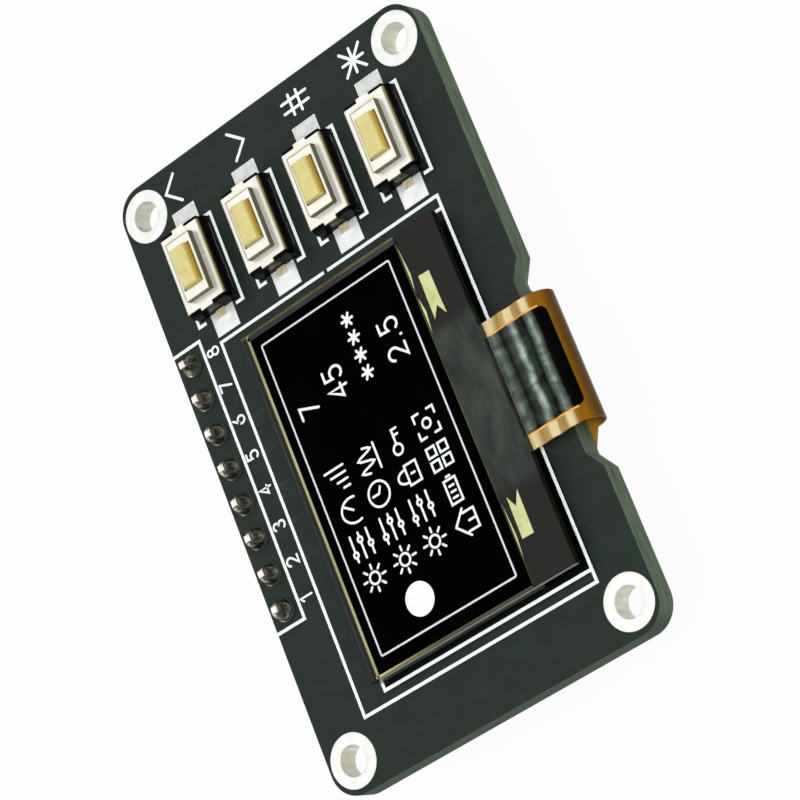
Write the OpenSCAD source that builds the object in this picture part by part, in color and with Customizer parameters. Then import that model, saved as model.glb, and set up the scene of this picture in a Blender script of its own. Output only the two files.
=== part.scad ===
// Small OLED display module: a printed circuit board with a glass display panel, a flex cable folded
// round the board's edge, four tactile switches, a row of header pins and four plated mounting holes.
// Millimetres. X runs along the display's text lines, Y towards the header, +Z out of the screen.
// The origin is the centre of the four mounting holes, on the board's back face.

/* [Board] */
// Length of the board along X
board_l = 44; // [42:0.5:60]
// Width of the board along Y
board_w = 26.6; // [26:0.2:40]
// Thickness of the board
board_t = 1.6; // [1:0.1:2.4]
// Radius of the board's corners
board_r = 2; // [0.5:0.1:2.6]

/* [Mounting holes] */
// Finished diameter of a mounting hole
hole_d = 2; // [1.4:0.1:2.4]
// Outer diameter of the ring round a mounting hole
hole_ring_d = 3.6; // [3:0.1:3.8]
// From the board's short edges to the hole centres
hole_inset_x = 2.2; // [2:0.1:2.6]
// From the board's long edges to the hole centres
hole_inset_y = 2; // [1.9:0.1:2.4]

/* [Copper and print] */
// Thickness of the plated copper on the board's faces and in its holes
plate_t = 0.05; // [0.03:0.01:0.1]
// Thickness of the printed lines
print_t = 0.02; // [0.01:0.01:0.04]
// Width of the printed lines
print_line = 0.22; // [0.12:0.02:0.3]

/* [Flex notch] */
// Length of the notch's flat bottom
notch_flat = 11.9; // [10:0.1:14]
// Depth of the notch in the board's edge
notch_depth = 0.85; // [0.4:0.05:1.4]
// Length of the sloped flank at each end of the notch
notch_flare = 1.3; // [0.5:0.1:2]

/* [Display panel] */
// Length of the panel's glass along X
panel_l = 24.74; // [23.5:0.1:25.5]
// Width of the panel's glass along Y
panel_w = 16.9; // [16.4:0.1:17.4]
// From the panel's glass to the switches' centres
switch_gap = 6.21; // [5:0.05:7]
// From the notched edge of the board to the panel
panel_inset_y = 3.53; // [3:0.05:4]
// Width of the front glass's ledge, which the rear glass leaves free
ledge_w = 3.2; // [3:0.1:3.6]
// Thickness of the front glass
front_glass_t = 0.55; // [0.4:0.05:0.8]
// Thickness of the rear glass
cap_glass_t = 0.55; // [0.45:0.05:0.8]
// Thickness of the polariser film
polariser_t = 0.2; // [0.1:0.05:0.3]
// From the polariser to the glass's edge, at the sides
polariser_margin = 0.47; // [0.2:0.05:0.8]
// From the polariser to the glass's edge, at the side away from the ledge
polariser_margin_top = 0.83; // [0.4:0.05:1]
// Thickness of the mounting tape
tape_t = 0.35; // [0.2:0.05:0.8]
// From the tape to the rear glass's edge
tape_margin = 0.5; // [0.2:0.1:1.5]
// Length of the light-emitting area
active_l = 21.74; // [20:0.1:22]
// Width of the light-emitting area
active_w = 10.86; // [10:0.1:11]
// Thickness of the light-emitting film
film_t = 0.03; // [0.02:0.01:0.05]
// Depth of the pocket etched in the rear glass
pocket_depth = 0.3; // [0.25:0.01:0.35]
// Room round the light-emitting film in the pocket
pocket_room = 0.3; // [0.1:0.05:0.35]
// Thickness of the drying sheet in the pocket
desiccant_t = 0.15; // [0.1:0.01:0.18]

/* [Driver chip] */
// Length of the driver chip
chip_l = 6.9; // [5:0.1:9]
// Width of the driver chip
chip_w = 0.9; // [0.7:0.05:1.1]
// Thickness of the driver chip
chip_t = 0.3; // [0.2:0.05:0.45]
// From the rear glass's edge to the driver chip
chip_gap = 0.6; // [0.3:0.05:0.7]
// Length of the resin round the driver chip
resin_l = 11.5; // [10:0.1:14]
// Height of the resin
resin_t = 0.36; // [0.3:0.02:0.55]

/* [Flex cable] */
// Width of the flex cable's neck
flex_w = 8.75; // [7:0.05:10]
// Thickness of the flex cable
flex_t = 0.12; // [0.08:0.01:0.2]
// Length of the cable's joint under the ledge
flex_bond = 1.1; // [0.6:0.05:1.2]
// From the notch's bottom to the centre of the cable's bend
flex_reach = 0.6; // [0.3:0.05:1]
// Width of the cable's tail on the board's back
tail_w = 21.8; // [21.2:0.1:23]
// Slope of the tail's flared sides, as X over Y
tail_slope = 1.75; // [1.4:0.05:2]
// From the notch's bottom to the end of the tail
tail_reach = 6; // [5.5:0.1:7]
// Pitch of the tail's joints
joint_pitch = 0.7; // [0.6:0.01:0.72]
// Width of one joint
joint_w = 0.42; // [0.3:0.02:0.5]
// Length of one joint
joint_l = 1.2; // [0.8:0.1:1.6]

/* [Header] */
// Pitch of the header pins
pin_pitch = 2.54; // [2:0.01:2.54]
// Side of a header pin
pin_side = 0.64; // [0.5:0.01:0.66]
// From the board's long edge to the pins
header_inset = 1.2; // [1.1:0.05:1.5]
// Width of the header's insulator
strip_w = 2.5; // [2:0.05:2.6]
// Height of the header's insulator
strip_h = 2.54; // [1.5:0.01:3]
// Length of the pins below the insulator
pin_below = 6; // [3:0.1:12]
// Length of the pins above the board
pin_above = 1.4; // [1.2:0.05:1.8]
// Chamfer of a pin's tip
pin_tip = 0.16; // [0.05:0.01:0.25]
// Diameter of a finished header hole
pin_hole_d = 1; // [0.95:0.01:1.1]
// Diameter of the land round a header hole
pin_land_d = 1.7; // [1.5:0.05:1.9]
// Height of a header pin's solder joint
pin_solder_h = 1.05; // [0.7:0.05:1.1]
// Hollow of the solder joint's flank
pin_solder_sag = 0.13; // [0.05:0.01:0.2]

/* [Tactile switches] */
// Pitch of the switches
switch_pitch = 5.55; // [5.3:0.05:6]
// From the board's short edge to the switches' centres
switch_inset = 7.9; // [7.6:0.05:8]
// Length of a switch's base
base_l = 6; // [5.8:0.1:6.2]
// Width of a switch's base
base_w = 3.5; // [3.4:0.05:3.8]
// Height of a switch's base
base_h = 1.3; // [1.15:0.05:1.5]
// Thickness of the cover's sheet
cover_t = 0.15; // [0.1:0.01:0.18]
// Length of the cover's top
cover_l = 5.5; // [5.2:0.05:5.6]
// From the cover's skirts to the base's sides
cover_step = 0.03; // [0.01:0.01:0.08]
// Depth of the cover's skirts
skirt_h = 0.5; // [0.3:0.05:0.7]
// Radius of the cover's folded edges
fold_r = 0.2; // [0.1:0.02:0.3]
// Width of the tabs that clip the cover to the base
tab_w = 1.05; // [0.8:0.05:1.4]
// Depth of the tabs
tab_h = 0.8; // [0.5:0.05:0.9]
// Length of the raised rim round the plunger
rim_l = 4.3; // [4.15:0.05:4.6]
// Width of the raised rim round the plunger
rim_w = 2.1; // [2.05:0.02:2.3]
// Length of the plunger's head
plunger_l = 2.75; // [2.4:0.05:2.9]
// Width of the plunger's head
plunger_w = 1.5; // [1.3:0.02:1.52]
// Height of the plunger above the raised rim
plunger_h = 0.45; // [0.35:0.05:1.5]
// Radius of the plunger's long top edges
plunger_r = 0.4; // [0.1:0.05:0.6]
// Clearance round the plunger in the rim
plunger_gap = 0.08; // [0.05:0.01:0.09]
// Thickness of the plunger's flange
flange_t = 0.25; // [0.2:0.01:0.28]
// Diameter of the plunger's foot
foot_d = 1; // [0.8:0.05:1.4]
// Travel of the plunger
travel = 0.25; // [0.15:0.01:0.26]

/* [Switch contacts] */
// Diameter of the snap dome
dome_d = 2.6; // [2.2:0.05:2.7]
// Height of the snap dome
dome_h = 0.4; // [0.3:0.02:0.42]
// Thickness of the snap dome
dome_t = 0.06; // [0.04:0.01:0.1]
// Room round the dome in its well
well_room = 0.1; // [0.05:0.01:0.15]
// Height of the well's floor
well_z = 0.42; // [0.38:0.02:0.46]
// Thickness of a terminal
terminal_t = 0.15; // [0.1:0.01:0.16]
// Width of a terminal
terminal_w = 0.75; // [0.6:0.05:1]
// Length of a terminal outside the base
terminal_out = 0.55; // [0.4:0.05:0.8]
// Diameter of the centre contact
stud_d = 0.8; // [0.5:0.05:1]
// Length of a switch's land
land_l = 1.9; // [1.6:0.05:2.1]
// Width of a switch's land
land_w = 2; // [1.5:0.05:2.2]
// From the switch's centre to the outer end of its lands
land_end = 4.63; // [4.5:0.02:4.7]
// Width of a terminal's solder joint
fillet_w = 1.5; // [1.35:0.05:1.5]

/* [Parts on the back] */
// Length of a capacitor or resistor
chip_part_l = 1.6; // [1.2:0.05:1.8]
// Width of a capacitor or resistor
chip_part_w = 0.8; // [0.6:0.05:0.9]
// Height of a capacitor
capacitor_h = 0.8; // [0.5:0.05:1]
// Height of a resistor
resistor_h = 0.45; // [0.3:0.05:0.6]
// Length of a metal end of a capacitor or resistor
end_l = 0.3; // [0.2:0.02:0.4]
// Length of the regulator's body
regulator_l = 2.9; // [2.6:0.05:3.1]
// Width of the regulator's body
regulator_w = 1.3; // [1.2:0.05:1.5]
// Height of the regulator's body
regulator_h = 1; // [0.8:0.05:1.2]

/* [Hidden] */
$fn = 48;

PIN_COUNT = 8;
JOINT_COUNT = 30;
SWITCHES = [1, 2, 3, 4];

// places of the back's small parts, from the panel's centre line and the end of the flex tail: they
// stand in columns and in two rows, with the regulator beyond
column_pitch = 2.4;
row_pitch = 3.6;
row_1 = 2.6;
row_2 = row_1 + row_pitch;
CAPACITOR_PLACES = [for (column = [-3.5:1.5]) [column * column_pitch, row_1]];
RESISTOR_PLACES = concat(
    [for (column = [2.5, 3.5]) [column * column_pitch, row_1]],
    [for (column = [-2.5, -1.5, 0.5, 1.5]) [column * column_pitch, row_2]]
);
REGULATOR_PLACE = [3.5 * column_pitch, row_2 + row_pitch / 2];
lead_w = 0.4;
lead_t = 0.12;
lead_reach = 0.55;
lead_pitch = 1.9;
lead_z = 0.5;

hole_x = board_l / 2 - hole_inset_x;
hole_y = board_w / 2 - hole_inset_y;

header_y = board_w / 2 - header_inset;
switch_x = board_l / 2 - switch_inset;
switch_z = board_t + plate_t;

// the panel's outline and its levels above the board
panel_x0 = switch_x - switch_gap - panel_l;
panel_y0 = -board_w / 2 + panel_inset_y;
panel_cx = panel_x0 + panel_l / 2;
cap_y0 = panel_y0 + ledge_w;
cap_w = panel_w - ledge_w;
cap_z = board_t + tape_t;
glass_z = cap_z + cap_glass_t;
polariser_z = glass_z + front_glass_t;
polariser_lap = 0.12;
polariser_y0 = cap_y0 + polariser_lap;
polariser_w = panel_y0 + panel_w - polariser_margin_top - polariser_y0;
polariser_l = panel_l - 2 * polariser_margin;
active_cy = polariser_y0 + polariser_w / 2;
chip_y0 = cap_y0 - chip_gap - chip_w;

// the flex cable's bend, from under the ledge to the board's back
notch_y = -board_w / 2 + notch_depth;
bend_y = notch_y - flex_reach;
bend_r = (glass_z + flex_t) / 2;
bend_z = glass_z - bend_r;
flex_end_y = panel_y0 + flex_bond;
tail_y = notch_y + tail_reach;
joint_t = 0.1;

// levels inside a switch, above its own underside: pressed, the plunger's flange stops just above the
// base, and released it stops just under the raised rim
cover_w = base_w - 2 * cover_step;
press_stop = 0.02;
release_stop = 0.03;
flange_z = base_h + press_stop + travel;
rim_z = flange_z + flange_t + release_stop + cover_t;
rim_hole_l = plunger_l + 2 * plunger_gap;
rim_hole_w = plunger_w + 2 * plunger_gap;
cavity_l = rim_l - 2 * cover_t;
cavity_w = rim_w - 2 * cover_t;
flange_side = 0.1;
foot_clearance = 0.03;
well_d = dome_d + 2 * well_room;
terminal_bend = 2;

function pin_x(i) = (i - (PIN_COUNT + 1) / 2) * pin_pitch;
function switch_y(k) = ((len(SWITCHES) + 1) / 2 - k) * switch_pitch;
function joint_x(j) = panel_cx + (j - (JOINT_COUNT + 1) / 2) * joint_pitch;

// ---- shared shapes ----

// a rectangle with its centre in X and Y at the origin
module centred_rect(l, w) {
    translate([-l / 2, -w / 2]) square([l, w]);
}

// a block centred in X and Y that stands on z = 0
module block(l, w, h) {
    linear_extrude(h) centred_rect(l, w);
}

// a rectangle with round corners
module round_rect(l, w, r) {
    centred_rect(l - 2 * r, w);
    centred_rect(l, w - 2 * r);
    for (sx = [-1, 1], sy = [-1, 1])
        translate([sx * (l / 2 - r), sy * (w / 2 - r)]) circle(r);
}

// a rectangle standing on the axis, whose two upper corners are round
module arch_rect(w, h, r) {
    translate([-w / 2, 0]) square([w, h - r]);
    translate([-w / 2 + r, 0]) square([w - 2 * r, h]);
    for (side = [-1, 1])
        translate([side * (w / 2 - r), h - r]) circle(r);
}

// an outline in Y and Z, drawn out along X and centred there
module along_x(l) {
    translate([-l / 2, 0, 0]) rotate([90, 0, 90]) linear_extrude(l) children();
}

// an outline in X and Z, drawn out along Y and centred there
module along_y(w) {
    translate([0, w / 2, 0]) rotate([90, 0, 0]) linear_extrude(w) children();
}

// a solder fillet's outline: a steep face from h and then a shallow one, to nothing at l
module fillet_outline(l, h) {
    knee = 0.35;
    polygon([[0, 0], [l, 0], [knee * l, knee * h], [0, h]]);
}

module at_mounting_holes() {
    for (sx = [-1, 1], sy = [-1, 1])
        translate([sx * hole_x, sy * hole_y, 0]) children();
}

module at_pins() {
    for (i = [1:PIN_COUNT])
        translate([pin_x(i), header_y, 0]) children();
}

module at_switch(k) {
    translate([switch_x, switch_y(k), switch_z]) children();
}

// ---- board ----

module notch_outline() {
    half = notch_flat / 2;
    edge = -board_w / 2;
    translate([panel_cx, 0])
        polygon([
            [-half - notch_flare, edge],
            [-half - notch_flare, edge - 1],
            [half + notch_flare, edge - 1],
            [half + notch_flare, edge],
            [half, notch_y],
            [-half, notch_y]
        ]);
}

module pcb() {
    color("#2f3532") difference() {
        linear_extrude(board_t) difference() {
            round_rect(board_l, board_w, board_r);
            notch_outline();
        }
        at_mounting_holes()
            translate([0, 0, -1]) cylinder(d = hole_d + 2 * plate_t, h = board_t + 2);
        at_pins()
            translate([0, 0, -1]) cylinder(d = pin_hole_d + 2 * plate_t, h = board_t + 2);
    }
}

// a plated hole: a barrel through the board with a flat ring on each face
module plated_hole(d, ring_d) {
    difference() {
        union() {
            translate([0, 0, -plate_t]) cylinder(d = ring_d, h = plate_t);
            cylinder(d = d + 2 * plate_t, h = board_t);
            translate([0, 0, board_t]) cylinder(d = ring_d, h = plate_t);
        }
        translate([0, 0, -1]) cylinder(d = d, h = board_t + 2);
    }
}

module plated_mounting_holes() {
    color("#f2f2ee") at_mounting_holes() plated_hole(hole_d, hole_ring_d);
}

module header_lands() {
    color("#e8e8e4") at_pins() plated_hole(pin_hole_d, pin_land_d);
}

module switch_lands() {
    color("#eeeeea")
        for (k = SWITCHES, side = [-1, 1])
            translate([switch_x + side * (land_end - land_l / 2), switch_y(k), board_t])
                block(land_l, land_w, plate_t);
}

// a printed outline, drawn inwards from the given corners
module printed_frame(x0, y0, x1, y1) {
    difference() {
        translate([x0, y0]) square([x1 - x0, y1 - y0]);
        translate([x0 + print_line, y0 + print_line])
            square([x1 - x0 - 2 * print_line, y1 - y0 - 2 * print_line]);
    }
}

// the outer frame round the display, with the small break in its line
module display_frame_print() {
    outer_left = 0.99;
    outer_right = 1.33;
    outer_top = 2.28;
    inner = 0.15;
    break_l = 0.3;
    difference() {
        printed_frame(panel_x0 - outer_left, panel_y0 - inner,
                      panel_x0 + panel_l + outer_right, panel_y0 + panel_w + outer_top);
        translate([panel_x0 + panel_l + outer_right - 2 * print_line, -break_l])
            square([3 * print_line, break_l]);
    }
    // the inner outline of the glass shares the outer frame's lower line
    printed_frame(panel_x0 - inner, panel_y0 - inner,
                  panel_x0 + panel_l + 3 * inner, panel_y0 + panel_w + inner);
}

// the outline of the header, open at the board's edge
module header_print() {
    side = 1.3;
    x0 = pin_x(1) - side;
    x1 = pin_x(PIN_COUNT) + side;
    y0 = header_y - side;
    translate([x0, y0]) square([x1 - x0, print_line]);
    for (x = [x0, x1 - print_line])
        translate([x, y0]) square([print_line, board_w / 2 - y0]);
}

// a switch's bracket with turned-up ends below it, and the corner mark above it
module switch_print() {
    bracket_l = 6.7;
    bracket_y = -base_w / 2 - print_line;
    arm = 0.75;
    translate([-bracket_l / 2, bracket_y]) square([bracket_l, print_line]);
    for (x = [-bracket_l / 2, bracket_l / 2 - print_line])
        translate([x, bracket_y]) square([print_line, arm]);
    translate([-bracket_l / 2, base_w / 2 + 0.3]) square([arm, print_line]);
    translate([-bracket_l / 2, base_w / 2 + 0.3 - arm + print_line]) square([print_line, arm]);
}

module silkscreen_print() {
    color("white") translate([0, 0, board_t]) linear_extrude(print_t) {
        display_frame_print();
        header_print();
        for (k = SWITCHES)
            translate([switch_x, switch_y(k)]) switch_print();
    }
}

// ---- header ----

// one position of the insulator: a square with cut corners
module strip_cell() {
    cut = 0.3;
    l = pin_pitch / 2;
    w = strip_w / 2;
    polygon([
        [-l, -w + cut], [-l + cut, -w], [l - cut, -w], [l, -w + cut],
        [l, w - cut], [l - cut, w], [-l + cut, w], [-l, w - cut]
    ]);
}

module header_strip() {
    color("#1c1c1e") difference() {
        at_pins()
            translate([0, 0, -plate_t - strip_h]) linear_extrude(strip_h) strip_cell();
        at_pins()
            translate([0, 0, -plate_t - strip_h - 1]) block(pin_side, pin_side, strip_h + 2);
    }
}

// a pin's side outline, with its two ends chamfered
module pin_outline() {
    low = -plate_t - strip_h - pin_below;
    high = board_t + pin_above;
    s = pin_side / 2;
    polygon([
        [-s, low + pin_tip], [-s + pin_tip, low], [s - pin_tip, low], [s, low + pin_tip],
        [s, high - pin_tip], [s - pin_tip, high], [-s + pin_tip, high], [-s, high - pin_tip]
    ]);
}

module header_pin(i) {
    color("#d8c88a") translate([pin_x(i), header_y, 0]) intersection() {
        along_x(pin_side) pin_outline();
        along_y(pin_side) pin_outline();
    }
}

// half of a joint's section: a hollow-flanked cone that narrows from r0 to r1 over its height
module solder_section(r0, r1, h, sag) {
    chord = sqrt((r0 - r1) * (r0 - r1) + h * h);
    r = chord * chord / (8 * sag) + sag / 2;
    reach = (r - sag) / chord;
    difference() {
        square([r0, h]);
        translate([(r0 + r1) / 2 + h * reach, h / 2 + (r0 - r1) * reach]) circle(r, $fn = 96);
    }
}

module header_solder_joints() {
    color("#b9b9b2") at_pins() difference() {
        union() {
            cylinder(d = pin_hole_d, h = board_t + plate_t);
            translate([0, 0, board_t + plate_t]) rotate_extrude()
                solder_section(pin_land_d / 2 - 0.05, pin_side * 0.72, pin_solder_h, pin_solder_sag);
        }
        translate([0, 0, -1]) block(pin_side, pin_side, board_t + pin_above + 2);
    }
}

// ---- display ----

module oled_foam_tape() {
    color("#101010")
        translate([panel_x0 + tape_margin, cap_y0 + tape_margin, board_t])
            cube([panel_l - 2 * tape_margin, cap_w - 2 * tape_margin, tape_t]);
}

// the glass over the film: its pocket keeps the film and the drying sheet clear of the board
module oled_cap_glass() {
    color("#3a3f3a") difference() {
        translate([panel_x0, cap_y0, cap_z]) cube([panel_l, cap_w, cap_glass_t]);
        translate([panel_cx, active_cy, glass_z - pocket_depth]) linear_extrude(pocket_depth + 1)
            round_rect(active_l + 2 * pocket_room, active_w + 2 * pocket_room, pocket_room);
    }
}

module oled_desiccant() {
    sheet_margin = 1;
    color("#d9d6c8")
        translate([panel_cx, active_cy, glass_z - pocket_depth])
            block(active_l - 2 * sheet_margin, active_w - 2 * sheet_margin, desiccant_t);
}

module oled_emitting_layer() {
    color("#0a0a0c")
        translate([panel_cx, active_cy, glass_z - film_t]) block(active_l, active_w, film_t);
}

module oled_front_glass() {
    color("#34332f") translate([panel_x0, panel_y0, glass_z]) cube([panel_l, panel_w, front_glass_t]);
}

module oled_polariser() {
    color("#050506")
        translate([panel_x0 + polariser_margin, polariser_y0, polariser_z])
            cube([polariser_l, polariser_w, polariser_t]);
}

module driver_chip_shape() {
    translate([panel_cx - chip_l / 2, chip_y0, glass_z - chip_t]) cube([chip_l, chip_w, chip_t]);
}

module oled_driver_chip() {
    color("#55565a") driver_chip_shape();
}

// the resin that covers the chip, between the rear glass and the end of the flex cable
module oled_bond_resin() {
    color("#4a4d48") difference() {
        translate([panel_cx - resin_l / 2, flex_end_y, glass_z - resin_t])
            cube([resin_l, cap_y0 - flex_end_y, resin_t]);
        driver_chip_shape();
    }
}

// the cable's path in Y and Z: under the ledge, round the board's edge and onto its back
module flex_path_outline() {
    translate([bend_y, glass_z - flex_t]) square([flex_end_y - bend_y, flex_t]);
    translate([bend_y, -flex_t]) square([notch_y - bend_y, flex_t]);
    translate([bend_y, bend_z]) difference() {
        circle(bend_r, $fn = 96);
        circle(bend_r - flex_t, $fn = 96);
        translate([0, -bend_r]) square([bend_r, 2 * bend_r]);
    }
}

// the flared tail on the back, as seen from above
module flex_tail_outline() {
    neck = flex_w / 2;
    half = tail_w / 2;
    flare_y = bend_y + (half - neck) / tail_slope;
    polygon([
        [-neck, bend_y], [neck, bend_y], [half, flare_y],
        [half, tail_y], [-half, tail_y], [-half, flare_y]
    ]);
}

module flex_cable_shape() {
    translate([panel_cx, 0, 0]) {
        along_x(flex_w) flex_path_outline();
        translate([0, 0, -flex_t]) linear_extrude(flex_t) flex_tail_outline();
    }
}

module oled_flex_cable() {
    color("#b57a1c") flex_cable_shape();
}

// one low bump for each of the tail's conductors, half on the tail and half on its land
module flex_solder_joints() {
    color("#c9c9c4") difference() {
        for (j = [1:JOINT_COUNT])
            translate([joint_x(j), tail_y, -plate_t]) intersection() {
                along_y(joint_l) translate([0, -joint_t / 2]) circle(d = joint_w);
                translate([0, 0, -1]) block(joint_w, joint_l, 1);
            }
        flex_cable_shape();
    }
}

// ---- switches ----

module dome_well() {
    translate([0, 0, well_z]) cylinder(d = well_d, h = base_h);
}

// the left terminal carries the ring that the dome's rim stands on
module terminal_left_shape() {
    out = base_l / 2 + terminal_out;
    along_y(terminal_w) polygon([
        [-out, 0], [-terminal_bend, 0], [-terminal_bend, well_z - terminal_t],
        [-dome_d / 2, well_z - terminal_t], [-dome_d / 2, well_z],
        [-terminal_bend - terminal_t, well_z], [-terminal_bend - terminal_t, terminal_t],
        [-out, terminal_t]
    ]);
    translate([0, 0, well_z - terminal_t]) difference() {
        cylinder(d = well_d, h = terminal_t);
        translate([0, 0, -1]) cylinder(d = dome_d - 4 * well_room, h = terminal_t + 2);
    }
}

// the right terminal runs under the ring to the centre contact
module terminal_right_shape() {
    translate([-stud_d / 2, -terminal_w / 2, 0])
        cube([base_l / 2 + terminal_out + stud_d / 2, terminal_w, terminal_t]);
    cylinder(d = stud_d, h = well_z);
}

// the recess at each end of the base that a tab of the cover lies in
module tab_recesses() {
    for (side = [-1, 1])
        translate([side * (base_l / 2 - cover_t / 2), 0, base_h - tab_h])
            block(cover_t, tab_w, tab_h);
}

module switch_base(k) {
    color("#141416") at_switch(k) difference() {
        union() {
            block(base_l, base_w, base_h - skirt_h);
            translate([0, 0, base_h - skirt_h]) block(base_l, cover_w - 2 * cover_t, skirt_h);
        }
        dome_well();
        terminal_left_shape();
        terminal_right_shape();
        tab_recesses();
    }
}

module switch_terminal_left(k) {
    color("#cfcfc8") at_switch(k) terminal_left_shape();
}

module switch_terminal_right(k) {
    color("#cfcfc8") at_switch(k) terminal_right_shape();
}

module switch_dome(k) {
    a = dome_d / 2;
    r = (a * a + dome_h * dome_h) / (2 * dome_h);
    color("#dadad2") at_switch(k) translate([0, 0, well_z]) rotate_extrude() intersection() {
        translate([0, dome_h - r]) difference() {
            circle(r, $fn = 96);
            circle(r - dome_t, $fn = 96);
        }
        square([a, dome_h]);
    }
}

module switch_plunger(k) {
    foot_z = well_z + dome_h + foot_clearance;
    color("#e6d897") at_switch(k) {
        translate([0, 0, flange_z])
            along_x(plunger_l) arch_rect(plunger_w, rim_z + plunger_h - flange_z, plunger_r);
        translate([0, 0, flange_z])
            block(cavity_l - 2 * flange_side, plunger_w, flange_t);
        translate([0, 0, foot_z]) cylinder(d = foot_d, h = flange_z - foot_z);
    }
}

// the cover: a folded sheet with a raised rim, skirts along its sides and a tab at each end
module switch_cover(k) {
    color("#efece0") at_switch(k) {
        difference() {
            union() {
                translate([0, 0, base_h - skirt_h])
                    along_x(cover_l) arch_rect(cover_w, skirt_h + cover_t, fold_r);
                translate([0, 0, base_h]) block(rim_l, rim_w, rim_z - base_h);
            }
            translate([0, 0, base_h - skirt_h])
                block(cover_l + 1, cover_w - 2 * cover_t, skirt_h);
            block(cavity_l, cavity_w, rim_z - cover_t);
            translate([0, 0, base_h]) block(rim_hole_l, rim_hole_w, rim_z);
        }
        for (side = [-1, 1]) {
            translate([side * (cover_l + base_l) / 4, 0, base_h])
                block((base_l - cover_l) / 2, tab_w, cover_t);
            translate([side * (base_l / 2 - cover_t / 2), 0, base_h - tab_h])
                block(cover_t, tab_w, tab_h);
        }
    }
}

module switch_solder_joints() {
    toe = base_l / 2 + terminal_out;
    color("#d4d4ce")
        for (k = SWITCHES, side = [0, 1])
            at_switch(k) mirror([side, 0, 0]) translate([toe, 0, 0])
                along_y(fillet_w) fillet_outline(land_end - toe, terminal_t);
}

// ---- parts on the back ----

module at_places(places) {
    for (p = places)
        translate([panel_cx + p[0], tail_y + p[1], -plate_t]) mirror([0, 0, 1]) children();
}

// the two metal ends of a small part that lies along Y
module part_ends(h) {
    for (side = [-1, 1])
        translate([0, side * (chip_part_l - end_l) / 2, 0]) block(chip_part_w, end_l, h);
}

module part_body(h) {
    block(chip_part_w, chip_part_l - 2 * end_l, h);
}

module capacitor_bodies() {
    color("#9a7b55") at_places(CAPACITOR_PLACES) part_body(capacitor_h);
}

module capacitor_ends() {
    color("#d8d8d4") at_places(CAPACITOR_PLACES) part_ends(capacitor_h);
}

module resistor_bodies() {
    color("#1b1b1d") at_places(RESISTOR_PLACES) part_body(resistor_h);
}

module resistor_ends() {
    color("#d8d8d4") at_places(RESISTOR_PLACES) part_ends(resistor_h);
}

// a lead's side outline: out of the body, down and flat on its land
module lead_outline() {
    root = regulator_w / 2 - lead_t;
    knee = regulator_w / 2 + lead_reach / 2;
    toe = regulator_w / 2 + lead_reach;
    polygon([
        [root, lead_z], [knee - lead_t, lead_z], [knee - lead_t, 0], [toe, 0],
        [toe, lead_t], [knee, lead_t], [knee, lead_z + lead_t], [root, lead_z + lead_t]
    ]);
}

module at_leads() {
    for (place = [[-lead_pitch / 2, 0], [lead_pitch / 2, 0], [0, 1]])
        translate([place[0], 0, 0]) mirror([0, place[1], 0]) children();
}

// the body's section: its sides lean in above and below the level of the leads
module regulator_outline() {
    standoff = 0.08;
    lean = 0.1;
    w = regulator_w / 2;
    waist = lead_z + lead_t / 2;
    polygon([
        [-w + lean, standoff], [w - lean, standoff], [w, waist],
        [w - lean, standoff + regulator_h], [-w + lean, standoff + regulator_h], [-w, waist]
    ]);
}

module regulator_body() {
    color("#1d1d1f") at_places([REGULATOR_PLACE]) difference() {
        along_x(regulator_l) regulator_outline();
        at_leads() along_x(lead_w) lead_outline();
    }
}

module regulator_leads() {
    color("#c8c8c2") at_places([REGULATOR_PLACE]) at_leads() along_x(lead_w) lead_outline();
}

// tinned lands on the back for the small parts, the regulator and the flex cable's joints
module component_lands() {
    land_side = chip_part_w + 0.1;
    toe = regulator_w / 2 + lead_reach;
    color("#e4e4e0") {
        at_places(concat(CAPACITOR_PLACES, RESISTOR_PLACES))
            for (side = [-1, 1])
                translate([0, side * chip_part_l / 2, -plate_t]) block(land_side, land_side, plate_t);
        at_places([REGULATOR_PLACE]) at_leads()
            translate([0, toe, -plate_t]) block(2 * lead_w, land_side, plate_t);
        for (j = [1:JOINT_COUNT])
            translate([joint_x(j), tail_y + joint_l / 2, -plate_t]) block(joint_w, joint_l, plate_t);
    }
}

// ---- every node by its name ----

pcb();
plated_mounting_holes();
header_lands();
switch_lands();
component_lands();
silkscreen_print();
header_strip();
for (i = [1:PIN_COUNT])
    header_pin(i);
header_solder_joints();
oled_foam_tape();
oled_cap_glass();
oled_desiccant();
oled_emitting_layer();
oled_front_glass();
oled_polariser();
oled_driver_chip();
oled_bond_resin();
oled_flex_cable();
flex_solder_joints();
for (k = SWITCHES) {
    switch_base(k);
    switch_terminal_left(k);
    switch_terminal_right(k);
    switch_dome(k);
    switch_plunger(k);
    switch_cover(k);
}
switch_solder_joints();
regulator_body();
regulator_leads();
capacitor_bodies();
capacitor_ends();
resistor_bodies();
resistor_ends();
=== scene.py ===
import math
import random

import bmesh
import bpy
from mathutils import Matrix, Vector


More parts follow.
